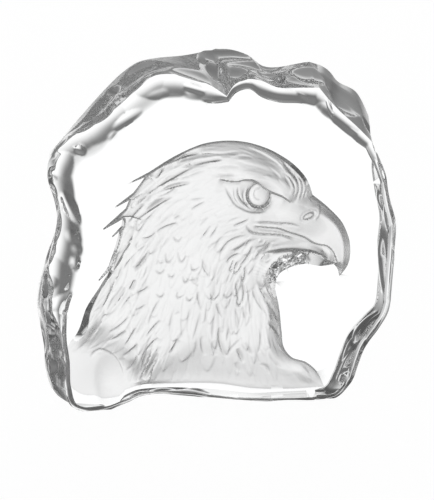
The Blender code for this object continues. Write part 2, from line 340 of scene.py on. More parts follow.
@dataclass
class Rim:
    """The block's outer surface from the front face's edge over the ridge to the back face's edge.

    The ridge runs clockwise as seen from the front, from the notch in the top edge.  Large random chips lie
    along it shell_spacing apart, give or take shell_jitter samples, and their half-lengths are shares of
    that.  Small ones lie anywhere along it.  Scoops leave the wall whole within ridge_keep of its edges,
    and chips start chip_start of the way across the bevel.
    """

    thickness: float = 40.0
    arch_height: float = 3.6
    arch_span: Point = (-47.0, 26.0)
    arch_rise: Point = (15.0, 32.0)
    lump_centre: Point = (-52.0, 16.0)
    lump_radius: float = 19.0
    lump_height: float = 1.5
    dome: Chip = Chip(-50.5, 15.0, 12.5, 6.8, 95, 1.1)
    step: float = 0.80
    bevel_rows: int = 15
    wall_rows: int = 22
    back_lip: float = 0.5
    normal_window: float = 16.0
    notch_window: float = 36.0
    notch_reach: float = 12.0
    random_scoops: int = 64
    random_chips: int = 34
    shell_spacing: float = 21.0
    shell_jitter: int = 8
    ridge_keep: float = 2.2
    chip_start: float = 0.14
    seed: int = 13
    scoop_ranges: Ranges = Ranges((5.0, 15.0), (4.0, 13.0), (-60.0, 60.0), (2.0, 38.0), (0.12, 0.26))
    shell_ranges: Ranges = Ranges((0.5, 0.8), (6.0, 10.0), (-14.0, 14.0), (-1.0, 3.0), (0.16, 0.30))
    chip_ranges: Ranges = Ranges((2.5, 8.0), (1.2, 3.5), (-50.0, 50.0), (0.0, 8.0), (0.15, 0.28))
    corners: tuple[int, ...] = (0, 6, 10)
    stations: tuple[Station, ...] = (
        Station(4.5, 140.7, 2.0, 2.0, 15.5, -1.0),
        Station(8.5, 146.0, 3.0, 2.5, 11.0, 0.0),
        Station(13.5, 148.0, 4.0, 3.0, 8.5, 0.0),
        Station(20.0, 147.0, 6.5, 3.5, 7.0, 0.5),
        Station(28.0, 143.6, 6.0, 3.5, 4.8, 1.0),
        Station(38.5, 143.1, 6.5, 3.5, 4.5, 2.0),
        Station(47.5, 142.6, 9.0, 4.5, 7.5, 1.0),
        Station(51.0, 138.1, 8.0, 4.5, 11.0, 0.0),
        Station(56.5, 132.1, 6.5, 4.0, 11.0, 0.5),
        Station(64.0, 125.2, 6.0, 3.5, 13.0, 0.5),
        Station(71.2, 117.8, 4.5, 2.5, 9.5, 0.0),
        Station(76.8, 104.8, 4.0, 2.2, 0.5, -0.5),
        Station(79.6, 92.3, 4.0, 2.2, -1.0, 0.0),
        Station(82.6, 79.8, 4.5, 2.5, -1.5, -0.5),
        Station(82.2, 68.0, 4.5, 2.5, -2.0, 0.5),
        Station(80.8, 48.0, 4.5, 2.5, -0.5, 0.0),
        Station(79.3, 38.5, 4.5, 2.5, -0.5, 0.0),
        Station(75.4, 31.5, 5.0, 3.0, -2.5, 0.5),
        Station(69.0, 23.5, 5.0, 3.0, -3.0, 0.0),
        Station(65.8, 16.0, 5.0, 3.2, -3.0, 0.0),
        Station(62.0, 7.0, 4.5, 3.8, -2.5, 0.0),
        Station(56.0, 0.4, 4.0, 4.6, -1.0, 0.0),
        Station(48.0, -0.8, 3.8, 5.0, 0.0, 0.0),
        Station(24.0, -0.6, 3.5, 5.0, 0.0, 0.0),
        Station(4.0, 1.6, 3.0, 5.0, 0.0, 0.0),
        Station(-14.0, 4.8, 2.8, 4.5, 0.8, 0.0),
        Station(-28.0, 6.2, 2.8, 4.5, 2.0, 0.0),
        Station(-35.0, 5.4, 3.0, 4.5, 1.5, 0.0),
        Station(-43.0, 2.2, 3.5, 4.5, 0.8, 0.0),
        Station(-51.0, -0.8, 4.0, 4.5, 0.0, 0.0),
        Station(-60.0, -0.6, 3.5, 4.0, 0.5, 0.0),
        Station(-67.0, 3.2, 2.5, 3.0, 1.2, 0.5),
        Station(-69.6, 12.0, 2.0, 2.0, 1.8, 1.0),
        Station(-70.0, 24.0, 1.8, 1.8, 2.4, 1.2),
        Station(-72.0, 35.0, 2.5, 2.0, 2.2, 1.2),
        Station(-75.2, 46.0, 6.5, 3.5, 0.4, 1.6),
        Station(-76.5, 58.0, 11.0, 5.5, -3.5, 1.2),
        Station(-75.5, 70.0, 12.5, 6.5, -6.0, 0.5),
        Station(-73.5, 78.0, 12.5, 6.2, -7.0, 0.5),
        Station(-72.4, 88.0, 10.5, 5.0, -7.0, 0.5),
        Station(-73.8, 97.5, 9.5, 4.6, -7.0, 0.5),
        Station(-76.4, 106.0, 11.5, 4.2, -7.0, 0.5),
        Station(-76.3, 114.6, 13.0, 4.0, -7.5, 0.0),
        Station(-69.0, 123.6, 12.5, 4.0, -7.8, 0.5),
        Station(-58.5, 129.1, 12.5, 4.0, -3.5, 0.0),
        Station(-51.0, 133.1, 8.5, 3.2, -0.5, 0.5),
        Station(-42.5, 140.1, 9.5, 3.6, 0.8, 0.5),
        Station(-35.5, 146.0, 10.5, 3.8, 1.2, 0.5),
        Station(-28.0, 150.8, 10.5, 4.0, 1.2, 0.5),
        Station(-20.0, 151.3, 10.5, 4.0, 2.2, 0.5),
        Station(-11.0, 149.3, 10.0, 4.0, 5.0, 0.5),
        Station(-2.5, 145.5, 7.5, 3.2, 10.5, 0.0),
    )
    scoops: tuple[Scoop, ...] = (
        Scoop(-71.5, 32.0, 12.0, 7.5, 17.0, 3.0),
        Scoop(-69.8, 19.5, 13.0, 7.5, 18.0, 3.4),
        Scoop(-69.8, 16.5, 24.0, 5.5, 7.0, 4.0, 10),
        Scoop(-67.5, 5.5, 14.0, 6.0, 16.0, 2.8),
        Scoop(-76.3, 56.0, 7.0, 7.5, 12.0, 3.8),
        Scoop(-73.0, 84.0, 18.0, 9.5, 15.0, 3.0, -8),
        Scoop(-74.5, 99.0, 14.0, 7.0, 14.0, 2.8, 12),
        Scoop(-75.0, 70.0, 20.0, 6.0, 13.0, 2.6),
        Scoop(-41.0, 141.0, 25.0, 3.6, 9.0, 3.2, 20),
        Scoop(-47.5, 136.0, 23.0, 3.0, 5.0, 2.4),
        Scoop(-31.0, 149.0, 19.0, 15.0, 13.0, 2.2, 6),
        Scoop(-1.5, 145.0, 31.0, 3.6, 4.5, 2.4),
        Scoop(3.0, 142.0, 20.0, 6.0, 8.0, 3.0),
        Scoop(13.0, 148.0, 12.0, 5.0, 8.0, 3.2, -20),
        Scoop(24.0, 145.5, 22.0, 12.0, 5.0, 2.4, -14),
        Scoop(45.0, 143.0, 18.0, 7.0, 12.0, 3.0),
        Scoop(58.0, 131.0, 16.0, 9.0, 12.0, 3.0, 20),
    )
    chips: tuple[Chip, ...] = (
        Chip(-71.0, 111.8, 9.5, 5.0, 72, 1.9),
        Chip(-62.6, 119.6, 3.0, 2.3, -20, 2.8),
        Chip(-73.9, 106.6, 2.9, 1.9, -60, 2.6),
        Chip(-67.5, 94.6, 10.0, 2.9, -63, 2.8),
        Chip(-66.8, 80.1, 5.5, 4.0, -60, 1.9),
        Chip(-64.5, 74.6, 3.6, 3.0, -70, 1.6),
        Chip(-64.5, 68.5, 4.5, 3.2, -60, 1.9),
        Chip(-74.5, 80.0, 9.0, 2.8, 80, 2.0),
        Chip(-75.6, 59.3, 6.0, 5.0, 60, 2.8),
        Chip(-71.0, 50.5, 8.0, 4.2, 38, 2.0),
        Chip(-42.6, 131.6, 9.5, 2.6, 30, 1.7),
        Chip(-57.0, 126.0, 5.0, 4.0, 60, 1.4),
        Chip(-26.0, 144.0, 8.0, 3.2, 10, 1.3),
        Chip(-9.5, 144.5, 10.0, 2.3, -18, 1.5),
        Chip(5.0, 141.8, 3.0, 1.6, -80, 1.6),
        Chip(24.0, 140.0, 8.0, 4.0, -20, 1.4),
        Chip(39.4, 140.0, 5.2, 1.1, -27, 1.4),
        Chip(52.0, 133.5, 7.0, 1.5, -75, 1.9),
        Chip(62.0, 124.0, 8.0, 2.0, -42, 1.5),
        Chip(74.0, 105.0, 9.0, 1.8, -70, 1.4),
    )

    @property
    def front(self) -> float:
        """Depth of the flat front face."""
        return -self.thickness / 2

    @property
    def back(self) -> float:
        """Depth of the flat back face."""
        return self.thickness / 2

    def normals(self, ridge: np.ndarray) -> np.ndarray:
        """The ridge's outward directions, evened out further by the notch at its first sample."""
        near = np.exp(-((np.hypot(*(ridge - ridge[0]).T) / self.notch_reach) ** 2))[:, None]
        return outward(ridge, self.normal_window) * (1 - near) + outward(ridge, self.notch_window) * near

    @staticmethod
    def bevel_profile(share: float) -> float:
        """How far back the bevel lies, from 0 at its inner edge to 1 at the ridge."""
        return share * share * (6 - 8 * share + 3 * share * share)

    def arch(self, x: np.ndarray) -> np.ndarray:
        """Height of the underside over what the block stands on."""
        rise = smoothstep((x - self.arch_span[0]) / self.arch_rise[0])
        fall = smoothstep((self.arch_span[1] - x) / self.arch_rise[1])
        return self.arch_height * rise * fall

    def lump(self, x: np.ndarray, z: np.ndarray) -> np.ndarray:
        """How far the left foot's front swells out past the flat front face."""
        away = np.hypot(x - self.lump_centre[0], z - self.lump_centre[1]) / self.lump_radius
        off = self.dome.off(np.stack([x, z], axis=1))
        return self.lump_height * (1 - smoothstep(away)) + self.dome.depth * np.clip(1 - off * off, 0, 1)

    def all_scoops(self, ridge: np.ndarray, dice: np.random.Generator) -> list[Scoop]:
        """The scoops listed and the random ones between them."""
        scoops, ranges = list(self.scoops), self.scoop_ranges
        for _ in range(self.random_scoops):
            x, z = ridge[dice.integers(len(ridge))]
            along, across = dice.uniform(*ranges.along), dice.uniform(*ranges.across)
            through, turn = dice.uniform(*ranges.inward), dice.uniform(*ranges.turn)
            scoops.append(Scoop(x, z, through, along, across, dice.uniform(*ranges.depth) * across, turn))
        return scoops

    def wall_dents(self, ridge: np.ndarray, through: np.ndarray, dice: np.random.Generator) -> np.ndarray:
        """How deep the scoops cut into the wall.

        Args:
            ridge: The ridge's samples.
            through: For each row of the wall, how far back from the ridge it lies.
            dice: Where the random scoops come from.

        Returns:
            One depth for each row and ridge sample.
        """
        step = np.linalg.norm(np.roll(ridge, -1, axis=0) - ridge, axis=1)
        place = np.concatenate([[0], np.cumsum(step)[:-1]])
        whole = step.sum()
        deepest = np.zeros((len(through), len(ridge)))
        for scoop in self.all_scoops(ridge, dice):
            centre = place[np.hypot(ridge[:, 0] - scoop.x, ridge[:, 1] - scoop.z).argmin()]
            ds = (place - centre + whole / 2) % whole - whole / 2
            dt = through[:, None] - scoop.through
            u, v = turned(ds, dt, *cosine_sine(scoop.turn))
            u, v = u / scoop.along, v / scoop.across
            deepest = np.maximum(deepest, scoop.depth * (1 - u * u - v * v))
        from_front, from_back = through / self.ridge_keep, (self.thickness - through) / self.ridge_keep
        return deepest * (smoothstep(from_front) * smoothstep(from_back))[:, None]

    def all_chips(self, ridge: np.ndarray, normal: np.ndarray, dice: np.random.Generator) -> list[Chip]:
        """The chips listed, the large random ones along the ridge and the small ones between them."""
        run = np.degrees(np.arctan2(normal[:, 0], -normal[:, 1]))
        chips, ranges = list(self.chips), self.shell_ranges
        for at in range(0, len(ridge), max(1, int(self.shell_spacing / self.step))):
            at = (at + dice.integers(-self.shell_jitter, self.shell_jitter + 1)) % len(ridge)
            x, z = ridge[at] - normal[at] * dice.uniform(*ranges.inward)
            turn = run[at] + dice.uniform(*ranges.turn)
            along, across = self.shell_spacing * dice.uniform(*ranges.along), dice.uniform(*ranges.across)
            chips.append(Chip(x, z, along, across, turn, dice.uniform(*ranges.depth) * across))
        ranges = self.chip_ranges
        for _ in range(self.random_chips):
            at = dice.integers(len(ridge))
            x, z = ridge[at] - normal[at] * dice.uniform(*ranges.inward)
            along, across = dice.uniform(*ranges.along), dice.uniform(*ranges.across)
            turn = run[at] + dice.uniform(*ranges.turn)
            chips.append(Chip(x, z, along, across, turn, dice.uniform(*ranges.depth) * across))
        return chips

    def bevel_dent(self, places: np.ndarray, chips: Sequence[Chip]) -> np.ndarray:
        """How deep the chips cut at places on the bevel."""
        deepest = np.zeros(len(places))
        for chip in chips:
            deepest = np.maximum(deepest, chip.depth * (1 - chip.off(places) ** 2))
        return deepest

    def rings(self) -> list[np.ndarray]:
        """The closed loops of the rim, from the front face's edge to the back face's edge.

        Returns:
            One array of (x, y, z) to a loop, all of one length.
        """
        samples = trace([astuple(station) for station in self.stations], self.step, self.corners)
        ridge, (bevel, fall, back, swell) = samples[:, :2], samples[:, 2:].T
        normal = self.normals(ridge)
        dice = np.random.default_rng(self.seed)
        chips = self.all_chips(ridge, normal, dice)
        bevel_share = np.arange(self.bevel_rows) / self.bevel_rows
        wall_share = np.arange(self.wall_rows + 1) / self.wall_rows
        dents = self.wall_dents(ridge, wall_share * self.thickness, dice)
        rings = []
        for share in bevel_share:
            place = ridge - normal * (bevel * (1 - share))[:, None]
            set_back = fall * self.bevel_profile(share)
            depth = self.front + set_back - self.lump(place[:, 0], place[:, 1]) * (1 - share)
            rings.append((place, depth + self.bevel_dent(place, chips) * smoothstep(share / self.chip_start)))
        ridge_depth = self.front + fall + self.bevel_dent(ridge, chips)
        for share, cut in zip(wall_share, dents):
            reach = back * share + swell * math.sin(math.pi * share) - cut
            depth = ridge_depth + (self.back - self.back_lip - ridge_depth) * share
            rings.append((ridge + normal * reach[:, None], depth))
        lip = ridge + normal * (back - self.back_lip)[:, None]
        rings.append((lip, np.full(len(lip), self.back)))
        finished = []
        for place, depth in rings:
            ground = np.maximum(place[:, 1], self.arch(place[:, 0]))
            finished.append(np.stack([place[:, 0], depth, ground], axis=1))
        return finished


# ----------------------------------------------------------------------------------------------------------
# The sunk head


@dataclass(frozen=True)
class Edge:
    """A point of the head's outline on the back face, with its wall's depth and width there."""

    x: float
    z: float
    wall: float
    width: float


@dataclass(frozen=True)
class Part:
    """How one part of the bird rounds over from the outline.

    Where it is and how far it reaches, then the width over which it rounds and the depth gained there.
    """

    x: float
    z: float
    reach: float
    round_over: float
    rise: float


@dataclass(frozen=True)
class Swell(Oval):
    """A broad swell or hollow, and the depth gained there."""

    rise: float


@dataclass(frozen=True)
class Eyeball:
    """The eyeball: its place, its radius as seen, and how round it stands, where 1 is half a ball."""

    x: float
    z: float
    radius: float
    roundness: float

    def height(self, points: np.ndarray) -> np.ndarray:
        """What the eyeball adds to the relief at each point."""
        away = np.hypot(points[:, 0] - self.x, points[:, 1] - self.z)
        return np.sqrt(np.clip(self.radius**2 - away**2, 0, None)) * self.roundness


@dataclass(frozen=True)
class Groove:
    """A line drawn in the relief.

    Its points, its half-width, its depth (negative stands proud), and how far its ends fade.
    """

    points: tuple[Point, ...]
    width: float
    depth: float
    fade: float = 0.2

    def height(self, points: np.ndarray) -> np.ndarray:
        """What the line adds to the relief at each point."""
        away, taper = beside_line(points, self.points, self.fade)
        return -self.depth * np.exp(-((away / self.width) ** 2)) * taper


@dataclass(frozen=True)
class Ledge:
    """A step in the relief: high on the left of its line, low on the right, easing out on both sides."""

    points: tuple[Point, ...]
    high: float
    high_reach: float
    low: float
    low_reach: float
    crisp: float = 0.35
    fade: float = 0.15

    def height(self, points: np.ndarray) -> np.ndarray:
        """What the step adds to the relief at each point."""
        away, taper = beside_line(points, self.points, self.fade)
        up = self.high * np.exp(-np.abs(away) / self.high_reach)
        down = -self.low * np.exp(-np.abs(away) / self.low_reach)
        return np.where(away > 0, up, down) * np.tanh(np.abs(away) / self.crisp) * taper


@dataclass(frozen=True)
class Ring(Oval):
    """An oval line drawn in the relief.

    Its half-width and depth (negative stands proud); from where it is drawn and through how much of a turn,
    in degrees; and the share of it that each end fades over.
    """

    width: float
    depth: float
    start: float = 0.0
    sweep: float = 360.0
    fade: float = 0.2

    def height(self, points: np.ndarray) -> np.ndarray:
        """What the ring adds to the relief at each point."""
        away = (self.off(points) - 1) * math.sqrt(self.along * self.across)
        line = -self.depth * np.exp(-((away / self.width) ** 2))
        if self.sweep >= 360:
            return line
        angle = np.degrees(np.arctan2(points[:, 1] - self.z, points[:, 0] - self.x))
        return line * faded(((angle - self.start) % 360) / self.sweep, self.fade)


@dataclass(frozen=True)
class Crush:
    """Glittering flats in the polished cut under the jaw, where the glass broke out unevenly."""

    cell: float = 2.3
    tilt: float = 0.8
    centre: Point = (35.5, 59.5)
    reach: Point = (7.0, 13.0)
    seed: int = 9

    def height(self, points: np.ndarray) -> np.ndarray:
        """What the flats add to the relief at each point."""
        dice = np.random.default_rng(self.seed)
        spread = self.reach[1]
        count = int((2 * spread / self.cell) ** 2)
        middles = dice.uniform(-spread, spread, (count, 2)) + self.centre
        slopes = dice.normal(0, self.tilt, (count, 2))
        away = np.hypot(*(points - self.centre).T)
        near = np.flatnonzero(away < spread)
        found = closest(points[near], middles)
        flats = np.zeros(len(points))
        flats[near] = ((points[near] - middles[found]) * slopes[found]).sum(axis=1)
        return flats * (1 - smoothstep((away - self.reach[0]) / (spread - self.reach[0])))


@dataclass(frozen=True)
class Plume:
    """What the feathers are like round one place.

    Their direction from root to tip in degrees from +X, their length and width, how far a tip stands off
    the feather under it, and how blunt it is, from 0 to 1.
    """

    x: float
    z: float
    turn: float
    length: float
    width: float
    lift: float
    blunt: float


@dataclass(frozen=True)
class Coat:
    """One layer of feathers, laid like shingles.

    Multiples of the plumes' length, width and lift; how uneven the lift is, where 0 is even; the gaps
    between feathers as shares of their length and width; and how softly an edge falls away.
    """

    stretch: float
    spread: float
    lift: float
    uneven: float
    along_gap: float
    across_gap: float
    soft: float
    seed: int


@dataclass(frozen=True)
class Vane:
    """The shape of every feather, from its root at 0 to its tip at 1.

    Over how much of it the root widens; where a pointed tip starts, how much later a blunt one does and how
    fast a pointed one narrows; how high its middle rides, how much its edges drop from there and how far it
    may lean; how high it rides at the root and how it rises from there; and its least half-width.
    """

    root: float = 0.3
    tip: float = 0.55
    tip_delay: float = 0.25
    tip_power: float = 0.75
    middle: float = 0.85
    drop: float = 0.35
    lean: float = 0.7
    root_ride: float = 0.1
    ride_power: float = 1.3
    thinnest: float = 0.05

    def half(self, u: np.ndarray, blunt: float) -> np.ndarray:
        """Its half-width at places along it, as a share of the widest."""
        tip = self.tip + self.tip_delay * blunt
        late = np.clip((u - tip) / (1 - tip), 0, 1)
        pointed = (1 - late) ** self.tip_power
        rounded = np.sqrt(np.clip(1 - late * late, 0, 1))
        return (pointed * (1 - blunt) + rounded * blunt) * smoothstep(u / self.root)

    def ride(self, u: np.ndarray, v: np.ndarray, lean: float) -> np.ndarray:
        """How high it rides at places along it and across it, as a share of its lift."""
        crown = np.clip(self.middle - self.drop * v * v + lean * v, 0, None)
        return np.clip(self.root_ride + (1 - self.root_ride) * u, 0, 1) ** self.ride_power * crown


@dataclass(frozen=True)
class FineLines:
    """Fine lines along the lie of the feathers.

    How many; their length and depth as shares of a plume's length and lift; their half-width; between which
    shares their length varies; how uneven their depth is, and its least share; and how their ends taper.
    """

    count: int = 460
    stretch: float = 1.2
    depth: float = 0.34
    width: float = 0.42
    vary: Point = (0.5, 1.4)
    uneven: float = 1.8
    faintest: float = 0.05
    taper: float = 0.7
    seed: int = 21


@dataclass(frozen=True)
class Stroke:
    """A curved line between two feathers, crisp on one side.

    Its middle; the way it runs there, in degrees from +X; its length; how far it bends over that, in
    degrees; its depth; how widely it falls away on its soft side, left above 0 and right below, and on its
    crisp side; and how its ends taper.
    """

    x: float
    z: float
    turn: float
    length: float
    bend: float
    depth: float
    soft: float
    crisp: float = 0.40
    taper: float = 0.8

    def cut(self, points: np.ndarray, deepest: np.ndarray) -> None:
        """Deepens the cuts at the points that the line reaches."""
        dx, dz = points[:, 0] - self.x, points[:, 1] - self.z
        # Farther off than this, the line has faded out.
        near = np.flatnonzero(np.hypot(dx, dz) < self.length * 0.6 + 3 * abs(self.soft))
        along, across = turned(dx[near], dz[near], *cosine_sine(self.turn))
        across -= math.radians(self.bend) / self.length * along * along / 2
        width = np.where(across * self.soft > 0, abs(self.soft), self.crisp)
        taper = np.clip(1 - (2 * along / self.length) ** 2, 0, 1) ** self.taper
        deepest[near] = np.maximum(deepest[near], self.depth * taper * np.exp(-((across / width) ** 2)))


@dataclass(frozen=True)
class Tip:
    """The rounded tip of one feather.

    Its place; the way it points, in degrees from +X; its length and half-width; the depth and half-width of
    the line round it; how wide that line opens, as a share of the tip; and how its ends taper.
    """

    x: float
    z: float
    turn: float
    length: float
    half: float
    depth: float = 0.42
    width: float = 0.42
    opening: float = 1.2
    taper: float = 0.6

    def cut(self, points: np.ndarray, deepest: np.ndarray) -> None:
        """Deepens the cuts at the points that the tip's edge reaches."""
        dx, dz = points[:, 0] - self.x, points[:, 1] - self.z
        # Farther off than this, the line has faded out.
        near = np.flatnonzero(np.hypot(dx, dz) < self.length + self.half + 2)
        along, across = turned(dx[near], dz[near], *cosine_sine(self.turn))
        steep = 2 * self.length * across / self.half**2
        away = (-along - self.length * (across / self.half) ** 2) / np.sqrt(1 + steep**2)
        taper = np.clip(1 + along / self.length, 0, 1) ** self.taper
        taper *= np.abs(across) < self.half * self.opening
        deepest[near] = np.maximum(deepest[near], self.depth * taper * np.exp(-((away / self.width) ** 2)))


@dataclass
class Plumage:
    """The feathers: coats of them along one lie, then the lines between them, drawn one by one.

    A feather's turn, in radians, and its bend, in 1/mm, vary by turn_spread and bend_spread, its length and
    width by the ranges of vary.  The lie at a place mixes the plumes, the near ones most.
    """

    candidates: int = 16000
    turn_spread: float = 0.09
    bend_spread: float = 0.006
    most_curl: float = 0.8
    vary: tuple[Point, Point] = ((0.75, 1.3), (0.8, 1.2))
    least_lift: float = 0.04
    mix_start: float = 1.0
    mix_power: float = 3.2
    vane: Vane = Vane()
    coats: tuple[Coat, ...] = (
        Coat(1.5, 2.0, 0.75, 0.6, 0.50, 0.85, 1.9, 5),
        Coat(1.35, 1.0, 0.26, 1.8, 0.46, 0.80, 0.40, 7),
    )
    fine_lines: FineLines = FineLines()
    plumes: tuple[Plume, ...] = (
        Plume(44.0, 98.0, 105, 6.0, 1.1, 0.16, 0.3),
        Plume(39.0, 106.0, 133, 7.0, 1.2, 0.18, 0.3),
        Plume(24.0, 113.0, 155, 8.0, 1.3, 0.20, 0.3),
        Plume(5.0, 115.0, 180, 9.0, 1.5, 0.24, 0.3),
        Plume(12.0, 105.0, 172, 8.0, 1.4, 0.16, 0.3),
        Plume(-12.0, 109.0, 203, 11.0, 2.0, 0.36, 0.3),
        Plume(-8.0, 101.0, 198, 9.0, 1.7, 0.28, 0.3),
        Plume(-26.0, 100.0, 217, 15.0, 3.0, 0.62, 0.35),
        Plume(-35.0, 86.0, 233, 16.0, 3.4, 0.75, 0.35),
        Plume(-40.0, 66.0, 245, 16.0, 3.4, 0.72, 0.35),
        Plume(-50.0, 42.0, 234, 17.0, 3.8, 0.66, 0.35),
        Plume(-46.0, 28.0, 232, 15.0, 3.8, 0.50, 0.35),
        Plume(-27.0, 28.0, 240, 15.0, 3.2, 0.55, 0.3),
        Plume(-28.0, 17.0, 250, 13.0, 3.0, 0.50, 0.3),
        Plume(2.0, 92.0, 200, 6.0, 1.3, 0.16, 0.3),
        Plume(-8.0, 80.0, 226, 7.0, 1.8, 0.20, 0.4),
        Plume(12.0, 76.0, 196, 6.0, 1.6, 0.28, 0.4),
        Plume(14.0, 67.0, 214, 8.0, 2.0, 0.45, 0.4),
        Plume(12.0, 55.0, 246, 11.0, 2.2, 0.55, 0.5),
        Plume(23.0, 62.0, 238, 8.0, 2.0, 0.50, 0.4),
        Plume(25.0, 46.0, 268, 12.0, 2.2, 0.55, 0.35),
        Plume(31.0, 44.0, 288, 11.0, 1.9, 0.45, 0.3),
        Plume(-6.0, 60.0, 262, 9.0, 3.6, 0.40, 0.7),
        Plume(-20.0, 56.0, 252, 10.0, 3.4, 0.42, 0.6),
        Plume(2.0, 44.0, 270, 10.0, 3.4, 0.40, 0.5),
        Plume(-14.0, 42.0, 258, 11.0, 3.8, 0.45, 0.6),
        Plume(0.0, 28.0, 271, 17.0, 3.4, 0.48, 0.35),
        Plume(25.0, 25.0, 280, 16.0, 2.8, 0.45, 0.3),
        Plume(0.0, 14.0, 271, 12.0, 3.4, 0.22, 0.4),
        Plume(40.0, 14.0, 312, 10.0, 2.6, 0.28, 0.4),
    )
    crown: tuple[Stroke, ...] = (
        Stroke(-4.0, 108.0, 188, 11.5, 20, 0.81, 2.1),
        Stroke(2.5, 111.5, 182, 14.0, 5, 0.52, 1.6),
        Stroke(-5.0, 111.5, 185, 10.0, 65, 0.81, 2.0),
        Stroke(7.0, 111.5, 189, 15.5, 20, 0.31, 1.3),
        Stroke(-5.0, 103.5, 198, 8.0, 10, 0.31, 1.2),
        Stroke(-5.0, 105.5, 196, 7.5, 30, 0.31, 1.2),
        Stroke(26.0, 113.0, 157, 14.5, 30, 1.17, -1.8),
        Stroke(28.0, 109.0, 148, 21.5, 30, 0.52, 3.9),
        Stroke(38.0, 103.5, 140, 7.5, -25, 0.81, 1.6),
        Stroke(41.5, 100.0, 139, 5.0, 15, 0.81, 2.1),
        Stroke(30.5, 103.0, 138, 10.0, 45, 0.31, 1.2),
        Stroke(37.0, 98.0, 116, 10.0, 45, 0.31, 1.2),
        Stroke(13.5, 100.0, 179, 9.0, -60, 0.31, 1.8),
        Stroke(6.5, 102.5, 182, 11.0, 10, 0.31, 1.2),
        Stroke(17.5, 110.0, 172, 13.5, 45, 0.31, 1.2),
        Stroke(9.0, 106.0, 183, 10.5, 35, 0.31, 1.2),
        Stroke(-12.5, 109.0, 217, 13.5, 45, 0.52, 2.0),
        Stroke(-1.0, 111.5, 179, 14.0, -15, 0.81, 2.1),
        Stroke(-18.5, 106.0, 212, 12.0, 35, 0.52, 1.7),
        Stroke(-9.0, 107.0, 194, 11.0, 30, 0.81, 2.0),
        Stroke(-1.0, 108.0, 191, 7.5, 10, 0.52, 1.2),
        Stroke(-16.5, 100.0, 199, 17.0, 15, 0.52, 1.7),
        Stroke(-21.2, 104.5, 236, 9.0, -15, 1.16, -1.8),
        Stroke(-19.4, 99.8, 210, 28.0, 12, 1.45, -2.6),
        Stroke(-10.6, 110.6, 193, 18.0, 14, 1.30, -2.2),
        Stroke(-1.2, 108.0, 190, 16.0, 8, 1.16, -2.0),
        Stroke(-17.7, 96.9, 196, 20.0, 12, 1.01, -1.8),
        Stroke(-25.3, 88.2, 211, 21.0, 10, 1.16, -2.2),
    )
    nape: tuple[Stroke, ...] = (
        Stroke(-22.5, 97.5, 196, 10.0, 15, 0.90, 3.3),
        Stroke(-31.5, 93.5, 209, 12.5, 50, 0.90, 3.0),
        Stroke(-29.0, 88.5, 216, 12.0, 20, 0.58, 2.2),
        Stroke(-19.0, 94.5, 203, 12.0, -25, 0.58, 1.8),
        Stroke(-29.0, 86.5, 215, 13.5, 45, 0.84, -2.6),
        Stroke(-28.5, 83.0, 218, 7.5, 30, 0.35, 2.4),
        Stroke(-28.5, 74.5, 187, 9.5, -105, 0.58, 1.8),
        Stroke(-19.0, 79.5, 201, 10.5, 30, 0.58, 2.1),
        Stroke(-35.5, 73.0, 247, 18.0, -45, 0.90, 4.5),
        Stroke(-35.5, 65.5, 229, 19.5, 35, 0.58, 3.3),
        Stroke(-41.5, 57.0, 245, 13.5, -25, 0.58, 2.2),
        Stroke(-30.5, 63.5, 221, 9.5, -5, 0.58, 1.4),
        Stroke(-35.0, 53.5, 243, 5.0, 0, 0.90, 1.2),
        Stroke(-30.0, 50.5, 207, 6.0, -50, 0.58, 1.4),
        Stroke(-45.0, 42.5, 228, 17.5, -30, 0.90, 3.9),
        Stroke(-39.0, 43.0, 230, 13.5, 0, 0.58, 1.8),
        Stroke(-14.5, 83.5, 211, 3.0, -20, 0.35, 1.4),
        Stroke(-4.5, 88.5, 209, 6.5, -5, 0.35, 1.4),
        Stroke(-44.0, 42.5, 224, 16.5, -55, 0.58, 4.8),
        Stroke(-39.0, 44.0, 231, 14.0, 0, 0.58, 1.4),
        Stroke(-30.0, 64.0, 224, 9.0, 20, 0.58, 1.4),
        Stroke(-29.0, 58.5, 248, 7.5, -35, 0.35, 2.2),
        Stroke(-40.5, 35.0, 219, 12.0, -20, 0.58, 1.4),
        Stroke(-42.0, 29.5, 214, 10.0, -5, 0.58, 1.4),
        Stroke(-36.0, 29.0, 239, 11.0, -5, 0.58, 1.4),
        Stroke(-36.0, 22.5, 224, 10.0, -15, 0.90, 1.8),
        Stroke(-35.5, 16.0, 233, 10.0, -60, 0.90, 1.8),
        Stroke(-27.5, 24.0, 234, 12.5, 30, 0.90, 2.4),
        Stroke(-24.0, 21.5, 250, 7.5, -25, 0.58, 2.1),
        Stroke(-16.0, 24.0, 239, 8.0, -10, 0.58, 2.4),
        Stroke(-31.0, 42.5, 205, 5.5, -45, 0.35, 2.1),
        Stroke(-29.4, 16.0, 246, 19.0, -12, 1.80, -2.4, 0.8),
        Stroke(-25.7, 15.5, 243, 15.0, -12, 1.60, -2.0, 0.8),
        Stroke(-32.6, 12.5, 247, 14.0, -10, 1.50, -2.2, 0.8),
        Stroke(-36.0, 12.0, 250, 12.0, -10, 0.80, -2.2),
        Stroke(-39.6, 67.0, 240, 20.0, -6, 1.62, -3.3),
        Stroke(-46.3, 48.7, 244, 22.0, -4, 1.10, -3.3),
        Stroke(-42.6, 44.9, 234, 17.0, -12, 1.15, -3.3),
        Stroke(-50.5, 35.0, 240, 15.0, -10, 0.80, -3.3),
        Stroke(-30.0, 63.3, 228, 11.0, -8, 0.87, -1.7),
        Stroke(-30.5, 91.7, 222, 11.0, 20, 1.30, -2.2),
        Stroke(-33.0, 86.5, 226, 12.0, 12, 1.10, -3.0),
        Stroke(-36.1, 73.9, 240, 12.0, -15, 1.45, -3.3),
    )
